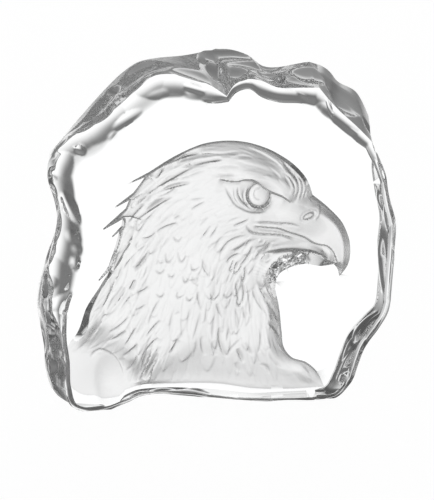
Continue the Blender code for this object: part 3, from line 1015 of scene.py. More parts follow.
    cheek: tuple[Stroke, ...] = (
        Stroke(-5.0, 91.5, 186, 7.0, -30, 0.24, 0.9),
        Stroke(-5.0, 88.5, 210, 7.5, 5, 0.40, 0.9),
        Stroke(-2.5, 81.0, 226, 6.0, 5, 0.24, 0.9),
        Stroke(-1.5, 76.0, 234, 8.5, 0, 0.40, 0.7),
        Stroke(2.5, 76.5, 238, 7.5, -10, 0.40, 0.7),
        Stroke(10.5, 81.5, 199, 6.5, 5, 0.24, 0.9),
        Stroke(15.0, 80.0, 202, 8.0, -5, 0.62, 0.9),
        Stroke(11.5, 76.5, 200, 4.5, 25, 0.24, 0.9),
        Stroke(6.0, 74.0, 224, 16.5, 85, 0.24, 1.4),
        Stroke(8.5, 71.0, 223, 17.0, 100, 0.40, 1.6),
        Stroke(-1.5, 60.0, 295, 10.0, 25, 0.40, 0.9),
        Stroke(-6.5, 53.5, 304, 6.0, 45, 0.40, 0.9),
        Stroke(-1.5, 58.5, 301, 9.0, 45, 0.40, 0.9),
        Stroke(-4.5, 44.5, 283, 9.5, 25, 0.40, 0.9),
        Stroke(5.0, 39.5, 295, 7.5, 20, 0.40, 0.9),
        Stroke(-21.0, 70.0, 242, 11.0, 25, 0.24, 0.9),
        Stroke(-14.5, 39.5, 211, 3.0, -10, 0.24, 0.9),
        Stroke(-25.5, 40.5, 246, 13.5, 25, 0.40, 0.9),
        Stroke(-25.5, 33.0, 229, 10.0, 10, 0.62, 1.0),
    )
    tuft: tuple[Stroke, ...] = (
        Stroke(14.5, 68.5, 209, 6.5, -35, 0.68, 1.4),
        Stroke(11.0, 64.5, 213, 7.5, 40, 0.68, 1.3),
        Stroke(17.0, 69.0, 232, 7.5, -10, 0.44, 1.4),
        Stroke(11.0, 61.0, 252, 5.5, -25, 0.68, 1.0),
        Stroke(12.5, 60.0, 253, 5.0, 0, 0.68, 0.8),
        Stroke(18.0, 64.0, 237, 11.0, -35, 0.68, 1.6),
        Stroke(14.5, 58.5, 234, 4.0, -35, 0.68, 1.0),
        Stroke(25.0, 68.5, 193, 7.0, -40, 0.44, 1.4),
        Stroke(23.5, 65.0, 220, 8.5, 20, 0.44, 1.8),
        Stroke(26.0, 64.0, 227, 9.0, 30, 0.68, 1.7),
        Stroke(17.0, 56.0, 263, 6.0, -45, 0.68, 1.0),
    )
    throat: tuple[Stroke, ...] = (
        Stroke(13.5, 47.5, 280, 11.5, -5, 0.62, 0.9),
        Stroke(16.5, 46.0, 263, 10.5, -45, 0.62, 0.9),
        Stroke(19.0, 44.5, 278, 15.5, -20, 0.40, 1.3),
        Stroke(19.0, 34.0, 251, 5.5, -55, 0.24, 0.9),
        Stroke(23.0, 43.0, 299, 13.5, 20, 0.40, 1.1),
        Stroke(25.5, 46.5, 300, 13.0, 15, 0.62, 1.0),
        Stroke(27.5, 49.0, 296, 15.0, 15, 0.62, 1.0),
        Stroke(28.5, 52.5, 300, 9.5, 0, 0.62, 1.2),
        Stroke(25.0, 40.5, 300, 11.0, 10, 0.40, 0.9),
        Stroke(30.0, 39.0, 302, 14.0, -30, 0.62, 1.1),
        Stroke(31.5, 29.5, 305, 10.0, -45, 0.62, 2.2),
        Stroke(16.5, 38.5, 280, 6.5, 5, 0.24, 0.9),
        Stroke(24.5, 25.0, 270, 12.0, -40, 0.40, 0.9),
        Stroke(19.0, 21.0, 300, 7.5, 10, 0.40, 0.9),
        Stroke(31.5, 14.0, 317, 11.0, 55, 0.40, 1.5),
        Stroke(27.5, 12.0, 314, 6.5, -70, 0.40, 0.9),
        Stroke(40.0, 67.0, 354, 34.0, -50, 2.60, 2.8, 1.1),
        Stroke(41.5, 70.2, 350, 30.0, -45, 0.35, -0.8),
    )
    breast: tuple[Stroke, ...] = (
        Stroke(-5.5, 32.5, 255, 13.5, -5, 0.25, 1.7),
        Stroke(-1.0, 39.5, 263, 9.5, -15, 0.25, 1.4),
        Stroke(2.0, 30.5, 266, 14.0, 10, 0.25, 1.7),
        Stroke(5.5, 24.5, 283, 15.0, 35, 0.65, 2.2),
        Stroke(14.0, 35.5, 278, 11.0, -55, 0.25, 1.1),
        Stroke(11.0, 22.0, 227, 13.5, 10, 0.25, 1.1),
        Stroke(-3.0, 23.5, 281, 9.5, 30, 0.42, 1.7),
        Stroke(-17.5, 35.0, 263, 14.0, 30, 0.25, 1.6),
        Stroke(2.0, 22.5, 279, 8.0, 45, 0.42, 1.6),
        Stroke(-12.5, 36.0, 270, 17.0, 15, 0.25, 1.7),
        Stroke(15.0, 18.0, 293, 7.5, -5, 0.65, 1.2),
        Stroke(13.5, 12.5, 293, 5.0, 40, 0.42, 1.1),
        Stroke(9.0, 28.0, 258, 8.5, 10, 0.25, 1.7),
        Stroke(-9.5, 36.0, 263, 12.0, 15, 0.25, 1.4),
    )
    tips: tuple[Tip, ...] = (
        Tip(-18.5, 63.0, 256, 4.0, 2.0),
        Tip(-12.5, 63.0, 262, 4.8, 2.2),
        Tip(-14.0, 72.5, 269, 2.2, 1.9),
        Tip(-7.0, 59.0, 250, 2.6, 2.1),
        Tip(-22.0, 58.0, 277, 1.8, 1.9),
        Tip(-17.0, 56.0, 273, 2.0, 1.5),
        Tip(-10.5, 53.5, 268, 3.2, 1.5),
        Tip(-6.0, 53.0, 285, 2.6, 1.6),
        Tip(-22.0, 47.0, 274, 2.0, 1.7),
        Tip(-14.0, 46.5, 240, 2.6, 1.6),
        Tip(-9.0, 45.0, 264, 2.2, 1.8),
        Tip(2.5, 45.0, 258, 3.0, 2.0),
        Tip(9.0, 45.5, 270, 2.0, 1.8),
        Tip(14.6, 41.6, 276, 3.0, 1.1, 0.6),
        Tip(10.4, 58.2, 245, 2.0, 0.9, 0.6),
        Tip(12.6, 56.8, 255, 2.2, 1.0, 0.6),
        Tip(16.2, 53.2, 262, 2.4, 1.0, 0.6),
        Tip(26.5, 61.5, 240, 2.4, 1.1, 0.6),
    )

    def lie(self, points: np.ndarray) -> np.ndarray:
        """What the feathers are like at each point: cosine, sine, length, width, lift and bluntness."""
        rows = np.array([(*cosine_sine(p.turn), p.length, p.width, p.lift, p.blunt) for p in self.plumes])
        centres = np.array([(p.x, p.z) for p in self.plumes])
        away = np.hypot(points[:, :1] - centres[:, 0], points[:, 1:2] - centres[:, 1])
        weight = 1 / (away + self.mix_start) ** self.mix_power
        mixed = weight @ rows / weight.sum(axis=1)[:, None]
        mixed[:, :2] /= np.linalg.norm(mixed[:, :2], axis=1)[:, None]
        return mixed

    def roots(self, loop: np.ndarray, coat: Coat) -> tuple[np.ndarray, np.ndarray]:
        """Scatters the feathers of a coat so that none starts too near another.

        Args:
            loop: The head's outline.
            coat: The layer.

        Returns:
            Each feather's middle, and what it is like.
        """
        dice = np.random.default_rng(coat.seed)
        tries = dice.uniform(loop.min(axis=0), loop.max(axis=0), (self.candidates, 2))
        tries = tries[inside(tries, loop)]
        likes = self.lie(tries)
        likes[:, 2] *= coat.stretch
        likes[:, 3] *= coat.spread
        likes[:, 4] *= coat.lift
        kept: list[int] = []
        for i, like in enumerate(likes):
            if kept:
                along, across = turned(*(tries[kept] - tries[i]).T, *like[:2])
                along, across = along / (like[2] * coat.along_gap), across / (like[3] * coat.across_gap)
                if (along * along + across * across).min() < 1:
                    continue
            kept.append(i)
        return tries[kept], likes[kept]

    def height(self, points: np.ndarray, loop: np.ndarray, cover: np.ndarray) -> np.ndarray:
        """How far the plumage stands proud at each point.

        Args:
            points: Where to measure.
            loop: The head's outline.
            cover: From 0 for bare skin to 1 for full plumage, at each point.

        Returns:
            One height for each point.
        """
        whole = sum(self.layer(points, loop, coat) for coat in self.coats)
        lines = np.zeros(len(points))
        for region in (self.crown, self.nape, self.cheek, self.tuft, self.throat, self.breast, self.tips):
            for line in region:
                line.cut(points, lines)
        return (whole - self.drawn(points, loop)) * cover - lines

    def beside(
        self, points: np.ndarray, middle: np.ndarray, like: np.ndarray, dice: np.random.Generator
    ) -> tuple[np.ndarray, ...]:
        """Where points lie beside one feather.

        Args:
            points: The points.
            middle: The feather's middle.
            like: Its cosine, sine, length and width, and so on.
            dice: Turns and bends it a little.

        Returns:
            Which points are near it, their places from its root at 0 to its tip at 1, and how far off its
            quill each one is.
        """
        turn = dice.normal(0, self.turn_spread)
        cosine = like[0] * math.cos(turn) - like[1] * math.sin(turn)
        sine = like[1] * math.cos(turn) + like[0] * math.sin(turn)
        bend = dice.normal(0, self.bend_spread) + self.curl(middle, like)
        dx, dz = points[:, 0] - middle[0], points[:, 1] - middle[1]
        # This holds all of the feather, with room for its bend.
        near = np.flatnonzero(np.abs(dx) + np.abs(dz) < like[2] * 0.75 + like[3])
        along, across = turned(dx[near], dz[near], cosine, sine)
        return near, along / like[2] + 0.5, across - bend * along * along

    def layer(self, points: np.ndarray, loop: np.ndarray, coat: Coat) -> np.ndarray:
        """How far one coat stands proud at each point."""
        dice = np.random.default_rng(coat.seed + 1)
        top = np.zeros(len(points))
        middles, likes = self.roots(loop, coat)
        LOG.info("feathers: %d", len(middles))
        for middle, like in zip(middles, likes):
            like = like * [1, 1, dice.uniform(*self.vary[0]), dice.uniform(*self.vary[1]), 1, 1]
            lift = like[4] * (1 + coat.uneven) * dice.uniform(self.least_lift, 1) ** coat.uneven
            lean = dice.uniform(-self.vane.lean, self.vane.lean)
            near, u, across = self.beside(points, middle, like, dice)
            half = like[3] / 2 * self.vane.half(u, blunt=like[5])
            within = smoothstep((half - np.abs(across)) / coat.soft + 0.5) * (u > 0) * (u < 1)
            v = np.clip(across / np.maximum(half, self.vane.thinnest), -1, 1)
            top[near] = np.maximum(top[near], lift * self.vane.ride(u, v, lean) * within)
        return top

    def drawn(self, points: np.ndarray, loop: np.ndarray) -> np.ndarray:
        """How deep the fine strokes are at each point."""
        fine = self.fine_lines
        dice = np.random.default_rng(fine.seed)
        tries = dice.uniform(loop.min(axis=0), loop.max(axis=0), (fine.count * 2, 2))
        middles = tries[inside(tries, loop)][: fine.count]
        deepest = np.zeros(len(points))
        for middle, like in zip(middles, self.lie(middles)):
            like = like * [1, 1, fine.stretch * dice.uniform(*fine.vary), 1, 1, 1]
            depth = fine.depth * like[4] * dice.uniform(fine.faintest, 1) ** fine.uneven
            near, u, across = self.beside(points, middle, like, dice)
            taper = np.sin(np.pi * np.clip(u, 0, 1)) ** fine.taper
            line = depth * taper * np.exp(-((across / fine.width) ** 2))
            deepest[near] = np.maximum(deepest[near], line)
        return deepest

    def curl(self, middle: np.ndarray, like: np.ndarray) -> float:
        """How a feather bends with the lie of the plumage along its length, in 1/mm."""
        half = like[:2] * (like[2] / 2)
        (c0, s0), (c1, s1) = self.lie(np.array([middle - half, middle + half]))[:, :2]
        curl = math.atan2(c0 * s1 - s0 * c1, c0 * c1 + s0 * s1)
        return float(np.clip(curl, -self.most_curl, self.most_curl)) / (2 * like[2])


@dataclass
class Head:
    """The sunk eagle's head: its outline on the back face, and how far it lies in from there.

    Inside the wall, the head lies at the wall's depth and eases from there to the shelf's over
    shelf_stretch times the width that each part rounds over.  Walls deeper than polish_wall stay polished,
    and those deeper than crush_wall are crushed.  At the hem, hem_left of the depth is left, and the detail
    fades with that to the power of hem_detail; feathers fade over hem_fade from a little before it.
    """

    outline_step: float = 0.55
    edge_rise: float = 6.0
    shelf: float = 2.6
    shelf_stretch: float = 1.1
    polish_wall: float = 2.7
    crush_wall: float = 4.0
    crush_edge: float = 0.8
    wall_foot: float = 1.2
    swell_power: float = 1.5
    skin_reach: float = 1.08
    skin_fade: float = 0.22
    lid: float = 0.5
    crown: tuple[Edge, ...] = (
        Edge(-26.5, 104.0, 1.4, 0.7),
        Edge(-19.5, 108.2, 2.2, 1.0),
        Edge(-11.0, 112.5, 1.3, 0.8),
        Edge(-1.0, 116.0, 1.1, 0.7),
        Edge(10.0, 117.0, 1.0, 0.7),
        Edge(22.0, 115.0, 1.0, 0.7),
        Edge(32.1, 110.6, 1.4, 0.9),
        Edge(41.1, 104.3, 2.9, 1.7),
        Edge(46.6, 97.8, 2.9, 1.7),
    )
    beak: tuple[Edge, ...] = (
        Edge(49.3, 90.6, 2.0, 1.4),
        Edge(57.1, 84.0, 1.0, 0.8),
        Edge(63.9, 76.0, 1.0, 0.8),
        Edge(67.0, 66.0, 1.0, 0.8),
        Edge(66.0, 57.8, 1.0, 0.8),
        Edge(61.9, 52.3, 1.0, 0.8),
        Edge(60.8, 56.3, 1.0, 0.8),
    )
    jaw: tuple[Edge, ...] = (
        Edge(59.4, 58.0, 3.0, 1.1),
        Edge(53.6, 57.5, 5.6, 4.4),
        Edge(45.1, 58.8, 6.6, 6.2),
        Edge(38.1, 57.2, 7.2, 7.0),
        Edge(33.6, 54.4, 7.0, 6.0),
        Edge(31.9, 48.0, 4.0, 2.4),
    )
    front_neck: tuple[Edge, ...] = (
        Edge(33.6, 40.0, 1.2, 0.8),
        Edge(35.0, 28.0, 1.0, 0.8),
        Edge(36.1, 20.5, 1.0, 0.8),
        Edge(39.6, 15.9, 1.0, 0.8),
        Edge(46.2, 13.4, 1.0, 0.8),
        Edge(51.6, 8.6, 1.0, 0.8),
        Edge(54.9, 1.4, 1.0, 0.8),
    )
    base_line: tuple[Edge, ...] = (
        Edge(38.6, 1.2, 2.6, 1.0),
        Edge(22.0, 2.2, 2.6, 1.0),
        Edge(6.0, 5.2, 2.6, 1.0),
        Edge(-16.0, 6.4, 2.6, 1.0),
        Edge(-32.0, 6.6, 1.8, 1.5),
        Edge(-46.0, 4.6, 0.5, 2.5),
        Edge(-58.0, 4.8, 0.4, 2.5),
        Edge(-64.0, 10.0, 0.4, 2.5),
        Edge(-65.4, 19.0, 0.4, 2.5),
        Edge(-63.4, 27.0, 1.0, 1.6),
    )
    hind_neck: tuple[Edge, ...] = (
        Edge(-60.0, 31.5, 4.6, 2.6),
        Edge(-55.5, 43.0, 4.0, 1.9),
        Edge(-49.0, 53.0, 2.2, 0.9),
    )
    # Each hackle stands out of the hind neck as a thin spike: its lower root, its tip and its upper root.
    hackles: tuple[tuple[Edge, Edge, Edge], ...] = (
        (Edge(-44.9, 59.4, 3.2, 1.1), Edge(-51.6, 53.4, 3.0, 1.1), Edge(-45.1, 62.0, 3.2, 1.1)),
        (Edge(-40.3, 77.3, 3.2, 1.1), Edge(-47.6, 71.4, 3.0, 1.1), Edge(-39.3, 79.8, 3.2, 1.1)),
        (Edge(-38.8, 83.0, 3.2, 1.1), Edge(-49.8, 77.2, 3.2, 1.1), Edge(-37.2, 87.9, 1.4, 0.8)),
        (Edge(-35.7, 91.4, 1.3, 0.8), Edge(-44.8, 87.0, 3.2, 1.1), Edge(-33.6, 94.9, 1.2, 0.7)),
        (Edge(-28.5, 101.6, 1.2, 0.7), Edge(-39.6, 97.6, 3.2, 1.0), Edge(-26.5, 104.0, 1.4, 0.7)),
    )
    nape: tuple[Edge, ...] = (
        Edge(-43.4, 67.0, 3.2, 1.1),
        Edge(-41.6, 72.5, 3.2, 1.1),
    )
    parts: tuple[Part, ...] = (
        Part(8.0, 92.0, 20.0, 8.0, 2.8),
        Part(32.6, 98.0, 12.0, 8.0, 2.9),
        Part(58.6, 70.0, 9.0, 2.7, 1.0),
        Part(48.6, 62.5, 5.0, 4.0, 1.4),
        Part(-12.0, 62.0, 20.0, 9.0, 2.6),
        Part(18.0, 44.0, 12.0, 6.0, 1.8),
        Part(-18.0, 22.0, 18.0, 10.0, 1.6),
        Part(22.0, 18.0, 14.0, 6.0, 1.6),
        Part(46.6, 6.0, 7.0, 4.5, 1.5),
    )
    # The plumage runs out to nothing along the hem: each point's place, and how far in it fades there.
    hem: tuple[tuple[float, float, float], ...] = (
        (-64.0, 25.0, 9.0),
        (-57.0, 23.0, 15.0),
        (-49.0, 21.0, 18.0),
        (-40.5, 14.5, 10.0),
        (-36.5, 6.0, 9.0),
        (-33.0, 0.0, 9.0),
        (-25.0, -1.0, 16.0),
        (-16.0, 4.0, 20.0),
        (6.0, 3.0, 24.0),
        (22.0, 0.5, 24.0),
        (38.6, 0.0, 20.0),
        (54.9, 0.5, 12.0),
    )
    hem_left: float = 0.08
    hem_detail: float = 0.35
    hem_line: float = 0.8
    hem_fade: float = 1.5
    swells: tuple[Swell, ...] = (
        Swell(12.0, 88.0, 34.0, 24.0, -15.0, 3.0),
        Swell(0.0, 55.0, 44.0, 24.0, 65.0, 2.0),
        Swell(25.0, 99.5, 19.0, 4.5, -22.0, 1.0),
        Swell(23.0, 91.5, 12.0, 8.5, -8.0, -2.4),
        Swell(42.6, 80.0, 14.0, 6.0, -25.0, 1.2),
    )
    bare: tuple[Oval, ...] = (
        Oval(56.0, 70.0, 20.0, 18.0, -40.0),
        Oval(24.5, 90.0, 14.0, 10.0, -10.0),
        Oval(38.0, 80.0, 15.0, 9.0, -18.0),
        Oval(34.0, 74.5, 19.0, 5.5, -12.0),
        Oval(48.0, 66.0, 16.0, 6.0, -12.0),
    )
    eye: Eyeball = Eyeball(23.5, 92.3, 5.4, 0.45)
    brow: Ledge = Ledge(
        (
            (3.9, 100.7),
            (8.5, 99.4),
            (13.2, 98.9),
            (17.8, 99.6),
            (20.4, 99.2),
            (22.6, 97.6),
            (26.1, 94.7),
            (29.5, 92.9),
            (34.2, 91.0),
            (39.2, 87.2),
        ),
        high=1.5,
        high_reach=4.5,
        low=1.1,
        low_reach=3.2,
        fade=0.10,
    )
    ledges: tuple[Ledge, ...] = (
        Ledge(
            ((52.4, 86.6), (52.3, 83.9), (51.6, 81.2), (49.8, 79.0)),
            high=-0.05,
            high_reach=2.0,
            low=-0.35,
            low_reach=2.5,
        ),
        Ledge(
            (
                (20.2, 78.4),
                (27.6, 77.2),
                (32.8, 76.4),
                (37.4, 74.5),
                (42.1, 72.9),
                (45.7, 71.3),
                (49.0, 69.0),
                (52.2, 67.9),
                (55.0, 67.4),
                (57.3, 65.8),
                (59.1, 63.0),
                (60.1, 60.0),
                (60.6, 55.0),
            ),
            high=0.75,
            high_reach=3.0,
            low=0.75,
            low_reach=1.6,
            crisp=0.3,
            fade=0.06,
        ),
    )
    grooves: tuple[Groove, ...] = (
        Groove(((19.5, 79.8), (26.0, 79.7), (32.8, 78.8), (38.0, 78.2), (43.0, 76.4)), 0.45, 0.45),
        Groove(
            (
                (19.0, 79.9),
                (17.6, 78.6),
                (19.0, 75.9),
                (23.0, 74.4),
                (29.9, 73.6),
                (35.1, 72.8),
                (42.1, 69.7),
            ),
            0.45,
            0.6,
        ),
        Groove(((22.0, 76.6), (27.0, 75.6), (33.0, 74.6), (38.0, 72.9)), 0.4, 0.35),
        Groove(((7.2, 97.8), (9.5, 93.1), (12.2, 88.9), (16.9, 85.9), (23.3, 84.7), (28.4, 85.4)), 0.6, 0.5),
        Groove(((13.5, 97.3), (13.8, 93.0), (16.0, 89.4), (19.5, 87.4), (24.0, 86.9)), 0.4, 0.35),
        Groove(((12.0, 97.0), (11.8, 92.0), (14.6, 88.0), (18.5, 86.0)), 0.35, 0.25),
        Groove(
            ((-53.2, 18.0), (-51.8, 20.8), (-48.9, 22.4), (-46.0, 20.6), (-43.6, 15.8), (-42.6, 9.0)),
            0.6,
            1.1,
        ),
        Groove(((36.5, 103.5), (41.0, 99.0), (42.2, 94.0), (40.3, 88.6)), 0.45, 0.5),
        Groove(((39.0, 103.5), (43.0, 99.0), (44.2, 94.0), (42.2, 88.2)), 0.45, 0.5),
        Groove(((41.5, 102.5), (45.0, 98.0), (45.9, 93.5), (44.0, 88.8)), 0.45, 0.45),
        Groove(((34.0, 102.5), (38.6, 98.5), (40.2, 94.0), (39.0, 90.4)), 0.4, 0.35),
    )
    eye_rings: tuple[Ring, ...] = (
        Ring(23.5, 92.3, 5.6, 5.6, 0.0, 0.42, 0.60, start=130.0, sweep=250.0),
        Ring(23.5, 92.3, 6.5, 6.4, 0.0, 0.45, -0.35, start=140.0, sweep=220.0),
        Ring(23.5, 92.3, 7.5, 7.2, 0.0, 0.40, 0.35, start=150.0, sweep=190.0),
        Ring(23.6, 92.8, 2.6, 2.6, 0.0, 0.34, 0.28, start=60.0, sweep=240.0),
    )
    nostril: tuple[Ring, ...] = (
        Ring(46.9, 81.6, 2.7, 1.15, 22.0, 0.38, 0.55),
        Ring(46.9, 81.8, 4.2, 2.3, 22.0, 0.40, 0.16),
    )
    crush: Crush = Crush()
    plumage: Plumage = field(default_factory=Plumage)

    def outline(self) -> np.ndarray:
        """Samples of the outline, with the wall's depth and width behind each place."""
        rows: list[Edge] = []
        corners: list[int] = []

        def add(edges: Sequence[Edge], sharp: Iterable[int] = ()) -> None:
            """Appends a stretch and notes its sharp corners."""
            corners.extend(len(rows) + i for i in sharp)
            rows.extend(edges)

        add(self.crown, sharp=(0,))
        add(self.beak, sharp=(0, 5))
        add(self.jaw, sharp=(0, 5))
        add(self.front_neck, sharp=(6,))
        add(self.base_line)
        add(self.hind_neck)
        add(self.hackles[0], sharp=(0, 1, 2))
        add(self.nape)
        for hackle in self.hackles[1:-1]:
            add(hackle, sharp=(0, 1, 2))
        add(self.hackles[-1][:2], sharp=(0, 1))
        return trace([astuple(edge) for edge in rows], self.outline_step, corners)

    def body(self, points: np.ndarray, edge: np.ndarray, wall: np.ndarray) -> np.ndarray:
        """The head's broad shape.

        Args:
            points: Where to measure, within the outline.
            edge: Each point's distance from the outline.
            wall: The depth and the width of the wall nearest to it.

        Returns:
            How far in from the back face it lies.
        """
        part_x, part_z, reach, round_over, rise = np.array([astuple(part) for part in self.parts]).T
        apart = (points[:, :1] - part_x) ** 2 + (points[:, 1:] - part_z) ** 2
        weights = np.exp(-apart / (2 * reach**2))
        weights /= weights.sum(axis=1)[:, None]
        round_over, rise = weights @ round_over, weights @ rise
        inward = np.maximum(edge - wall[:, 1], 0.0)
        share = inward / round_over
        shelf = wall[:, 0] + (self.shelf - wall[:, 0]) * smoothstep(share / self.shelf_stretch)
        depth = shelf * np.clip(edge / wall[:, 1], 0, 1) + rise * (1 - np.clip(1 - share, 0, 1) ** 2)
        for swell in self.swells:
            within = np.clip(1 - swell.off(points) ** 2, 0, 1)
            depth += swell.rise * within**self.swell_power * smoothstep(inward / self.edge_rise)
        return depth

    def cover(self, points: np.ndarray) -> np.ndarray:
        """From 0 on bare skin and beak to 1 in full plumage."""
        skin = np.zeros(len(points))
        for patch in self.bare:
            skin = np.maximum(skin, smoothstep((self.skin_reach - patch.off(points)) / self.skin_fade))
        return 1 - skin

    def height(self, points: np.ndarray, outline: np.ndarray) -> np.ndarray:
        """How far the whole relief lies in from the back face.

        Args:
            points: Where to measure, within the outline.
            outline: The outline's samples.

        Returns:
            One depth for each point.
        """
        edge, wall, _ = nearest(points, outline)
        edge = np.abs(edge)
        depth = self.body(points, edge, wall)
        inner = smoothstep((edge - wall[:, 1]) / self.wall_foot)
        from_hem, reach, _ = nearest(points, trace_open(self.hem), closed=False)
        kept = self.hem_left + (1 - self.hem_left) * smoothstep(from_hem / reach[:, 0])
        from_brow = nearest(points, trace_open(self.brow.points), closed=False)[0]
        detail = sum(feature.height(points) for feature in (self.eye, *self.eye_rings))
        detail *= smoothstep(0.5 - from_brow / self.lid)
        for feature in (self.brow, *self.ledges, *self.grooves, *self.nostril):
            detail += feature.height(points)
        feathered = smoothstep(from_hem / self.hem_fade + self.hem_line)
        detail += self.plumage.height(points, outline[:, :2], self.cover(points)) * feathered
        on_cut = smoothstep(wall[:, 0] - self.crush_wall) * smoothstep(edge / self.crush_edge) * (1 - inner)
        return depth * kept + detail * inner * kept**self.hem_detail + self.crush.height(points) * on_cut

    def polished(self, points: np.ndarray, outline: np.ndarray) -> np.ndarray:
        """True where the wall is left polished."""
        edge, wall, _ = nearest(points, outline)
        return (np.abs(edge) < wall[:, 1]) & (wall[:, 0] > self.polish_wall)


# ----------------------------------------------------------------------------------------------------------
# The block's mesh


@dataclass
class Shell:
    """Gathers the block's points and faces."""

    points: list[np.ndarray] = field(default_factory=list)
    faces: list[np.ndarray] = field(default_factory=list)
    finishes: list[np.ndarray] = field(default_factory=list)
    count: int = 0

    def add_points(self, points: np.ndarray) -> np.ndarray:
        """Adds points and returns their numbers."""
        self.points.append(points)
        self.count += len(points)
        return np.arange(self.count - len(points), self.count)

    def add_faces(self, faces: np.ndarray, finish: np.ndarray | Finish) -> None:
        """Adds triangles with one finish, or with one for each."""
        self.faces.append(faces)
        one = isinstance(finish, Finish)
        self.finishes.append(np.full(len(faces), finish.value) if one else finish)

    def bridge(self, ring: np.ndarray, following: np.ndarray) -> None:
        """Joins two rings of points with triangles, each square cut along its shorter diagonal."""
        points = np.vstack(self.points)
        a, b = ring, np.roll(ring, -1)
        d, c = following, np.roll(following, -1)
        first = np.linalg.norm(points[a] - points[c], axis=1) < np.linalg.norm(points[b] - points[d], axis=1)
        upper = np.where(first[:, None], np.stack([a, b, c], 1), np.stack([a, b, d], 1))
        lower = np.where(first[:, None], np.stack([a, c, d], 1), np.stack([b, c, d], 1))
        self.add_faces(np.vstack([upper, lower]), Finish.POLISHED)


def triangulate(loops: Sequence[np.ndarray], extra: np.ndarray) -> tuple[np.ndarray, np.ndarray, list]:
    """Cuts the first loop's inside into triangles that keep every loop's edges.

    Args:
        loops: Closed loops, the outer one first.
        extra: Further points within it.

    Returns:
        The points, the triangles, and for each point the given points that it came from.
    """
    edges, first = [], 0
    for loop in loops:
        edges.extend((first + i, first + (i + 1) % len(loop)) for i in range(len(loop)))
        first += len(loop)
    given = [tuple(p) for p in np.vstack([*loops, extra])]
    found, _, faces, origins, _, _ = delaunay_2d_cdt(given, edges, [], 0, MERGE)
    places = np.array([tuple(p) for p in found])
    triangles = np.array(faces)
    return places, triangles[inside(places[triangles].mean(axis=1), loops[0])], origins


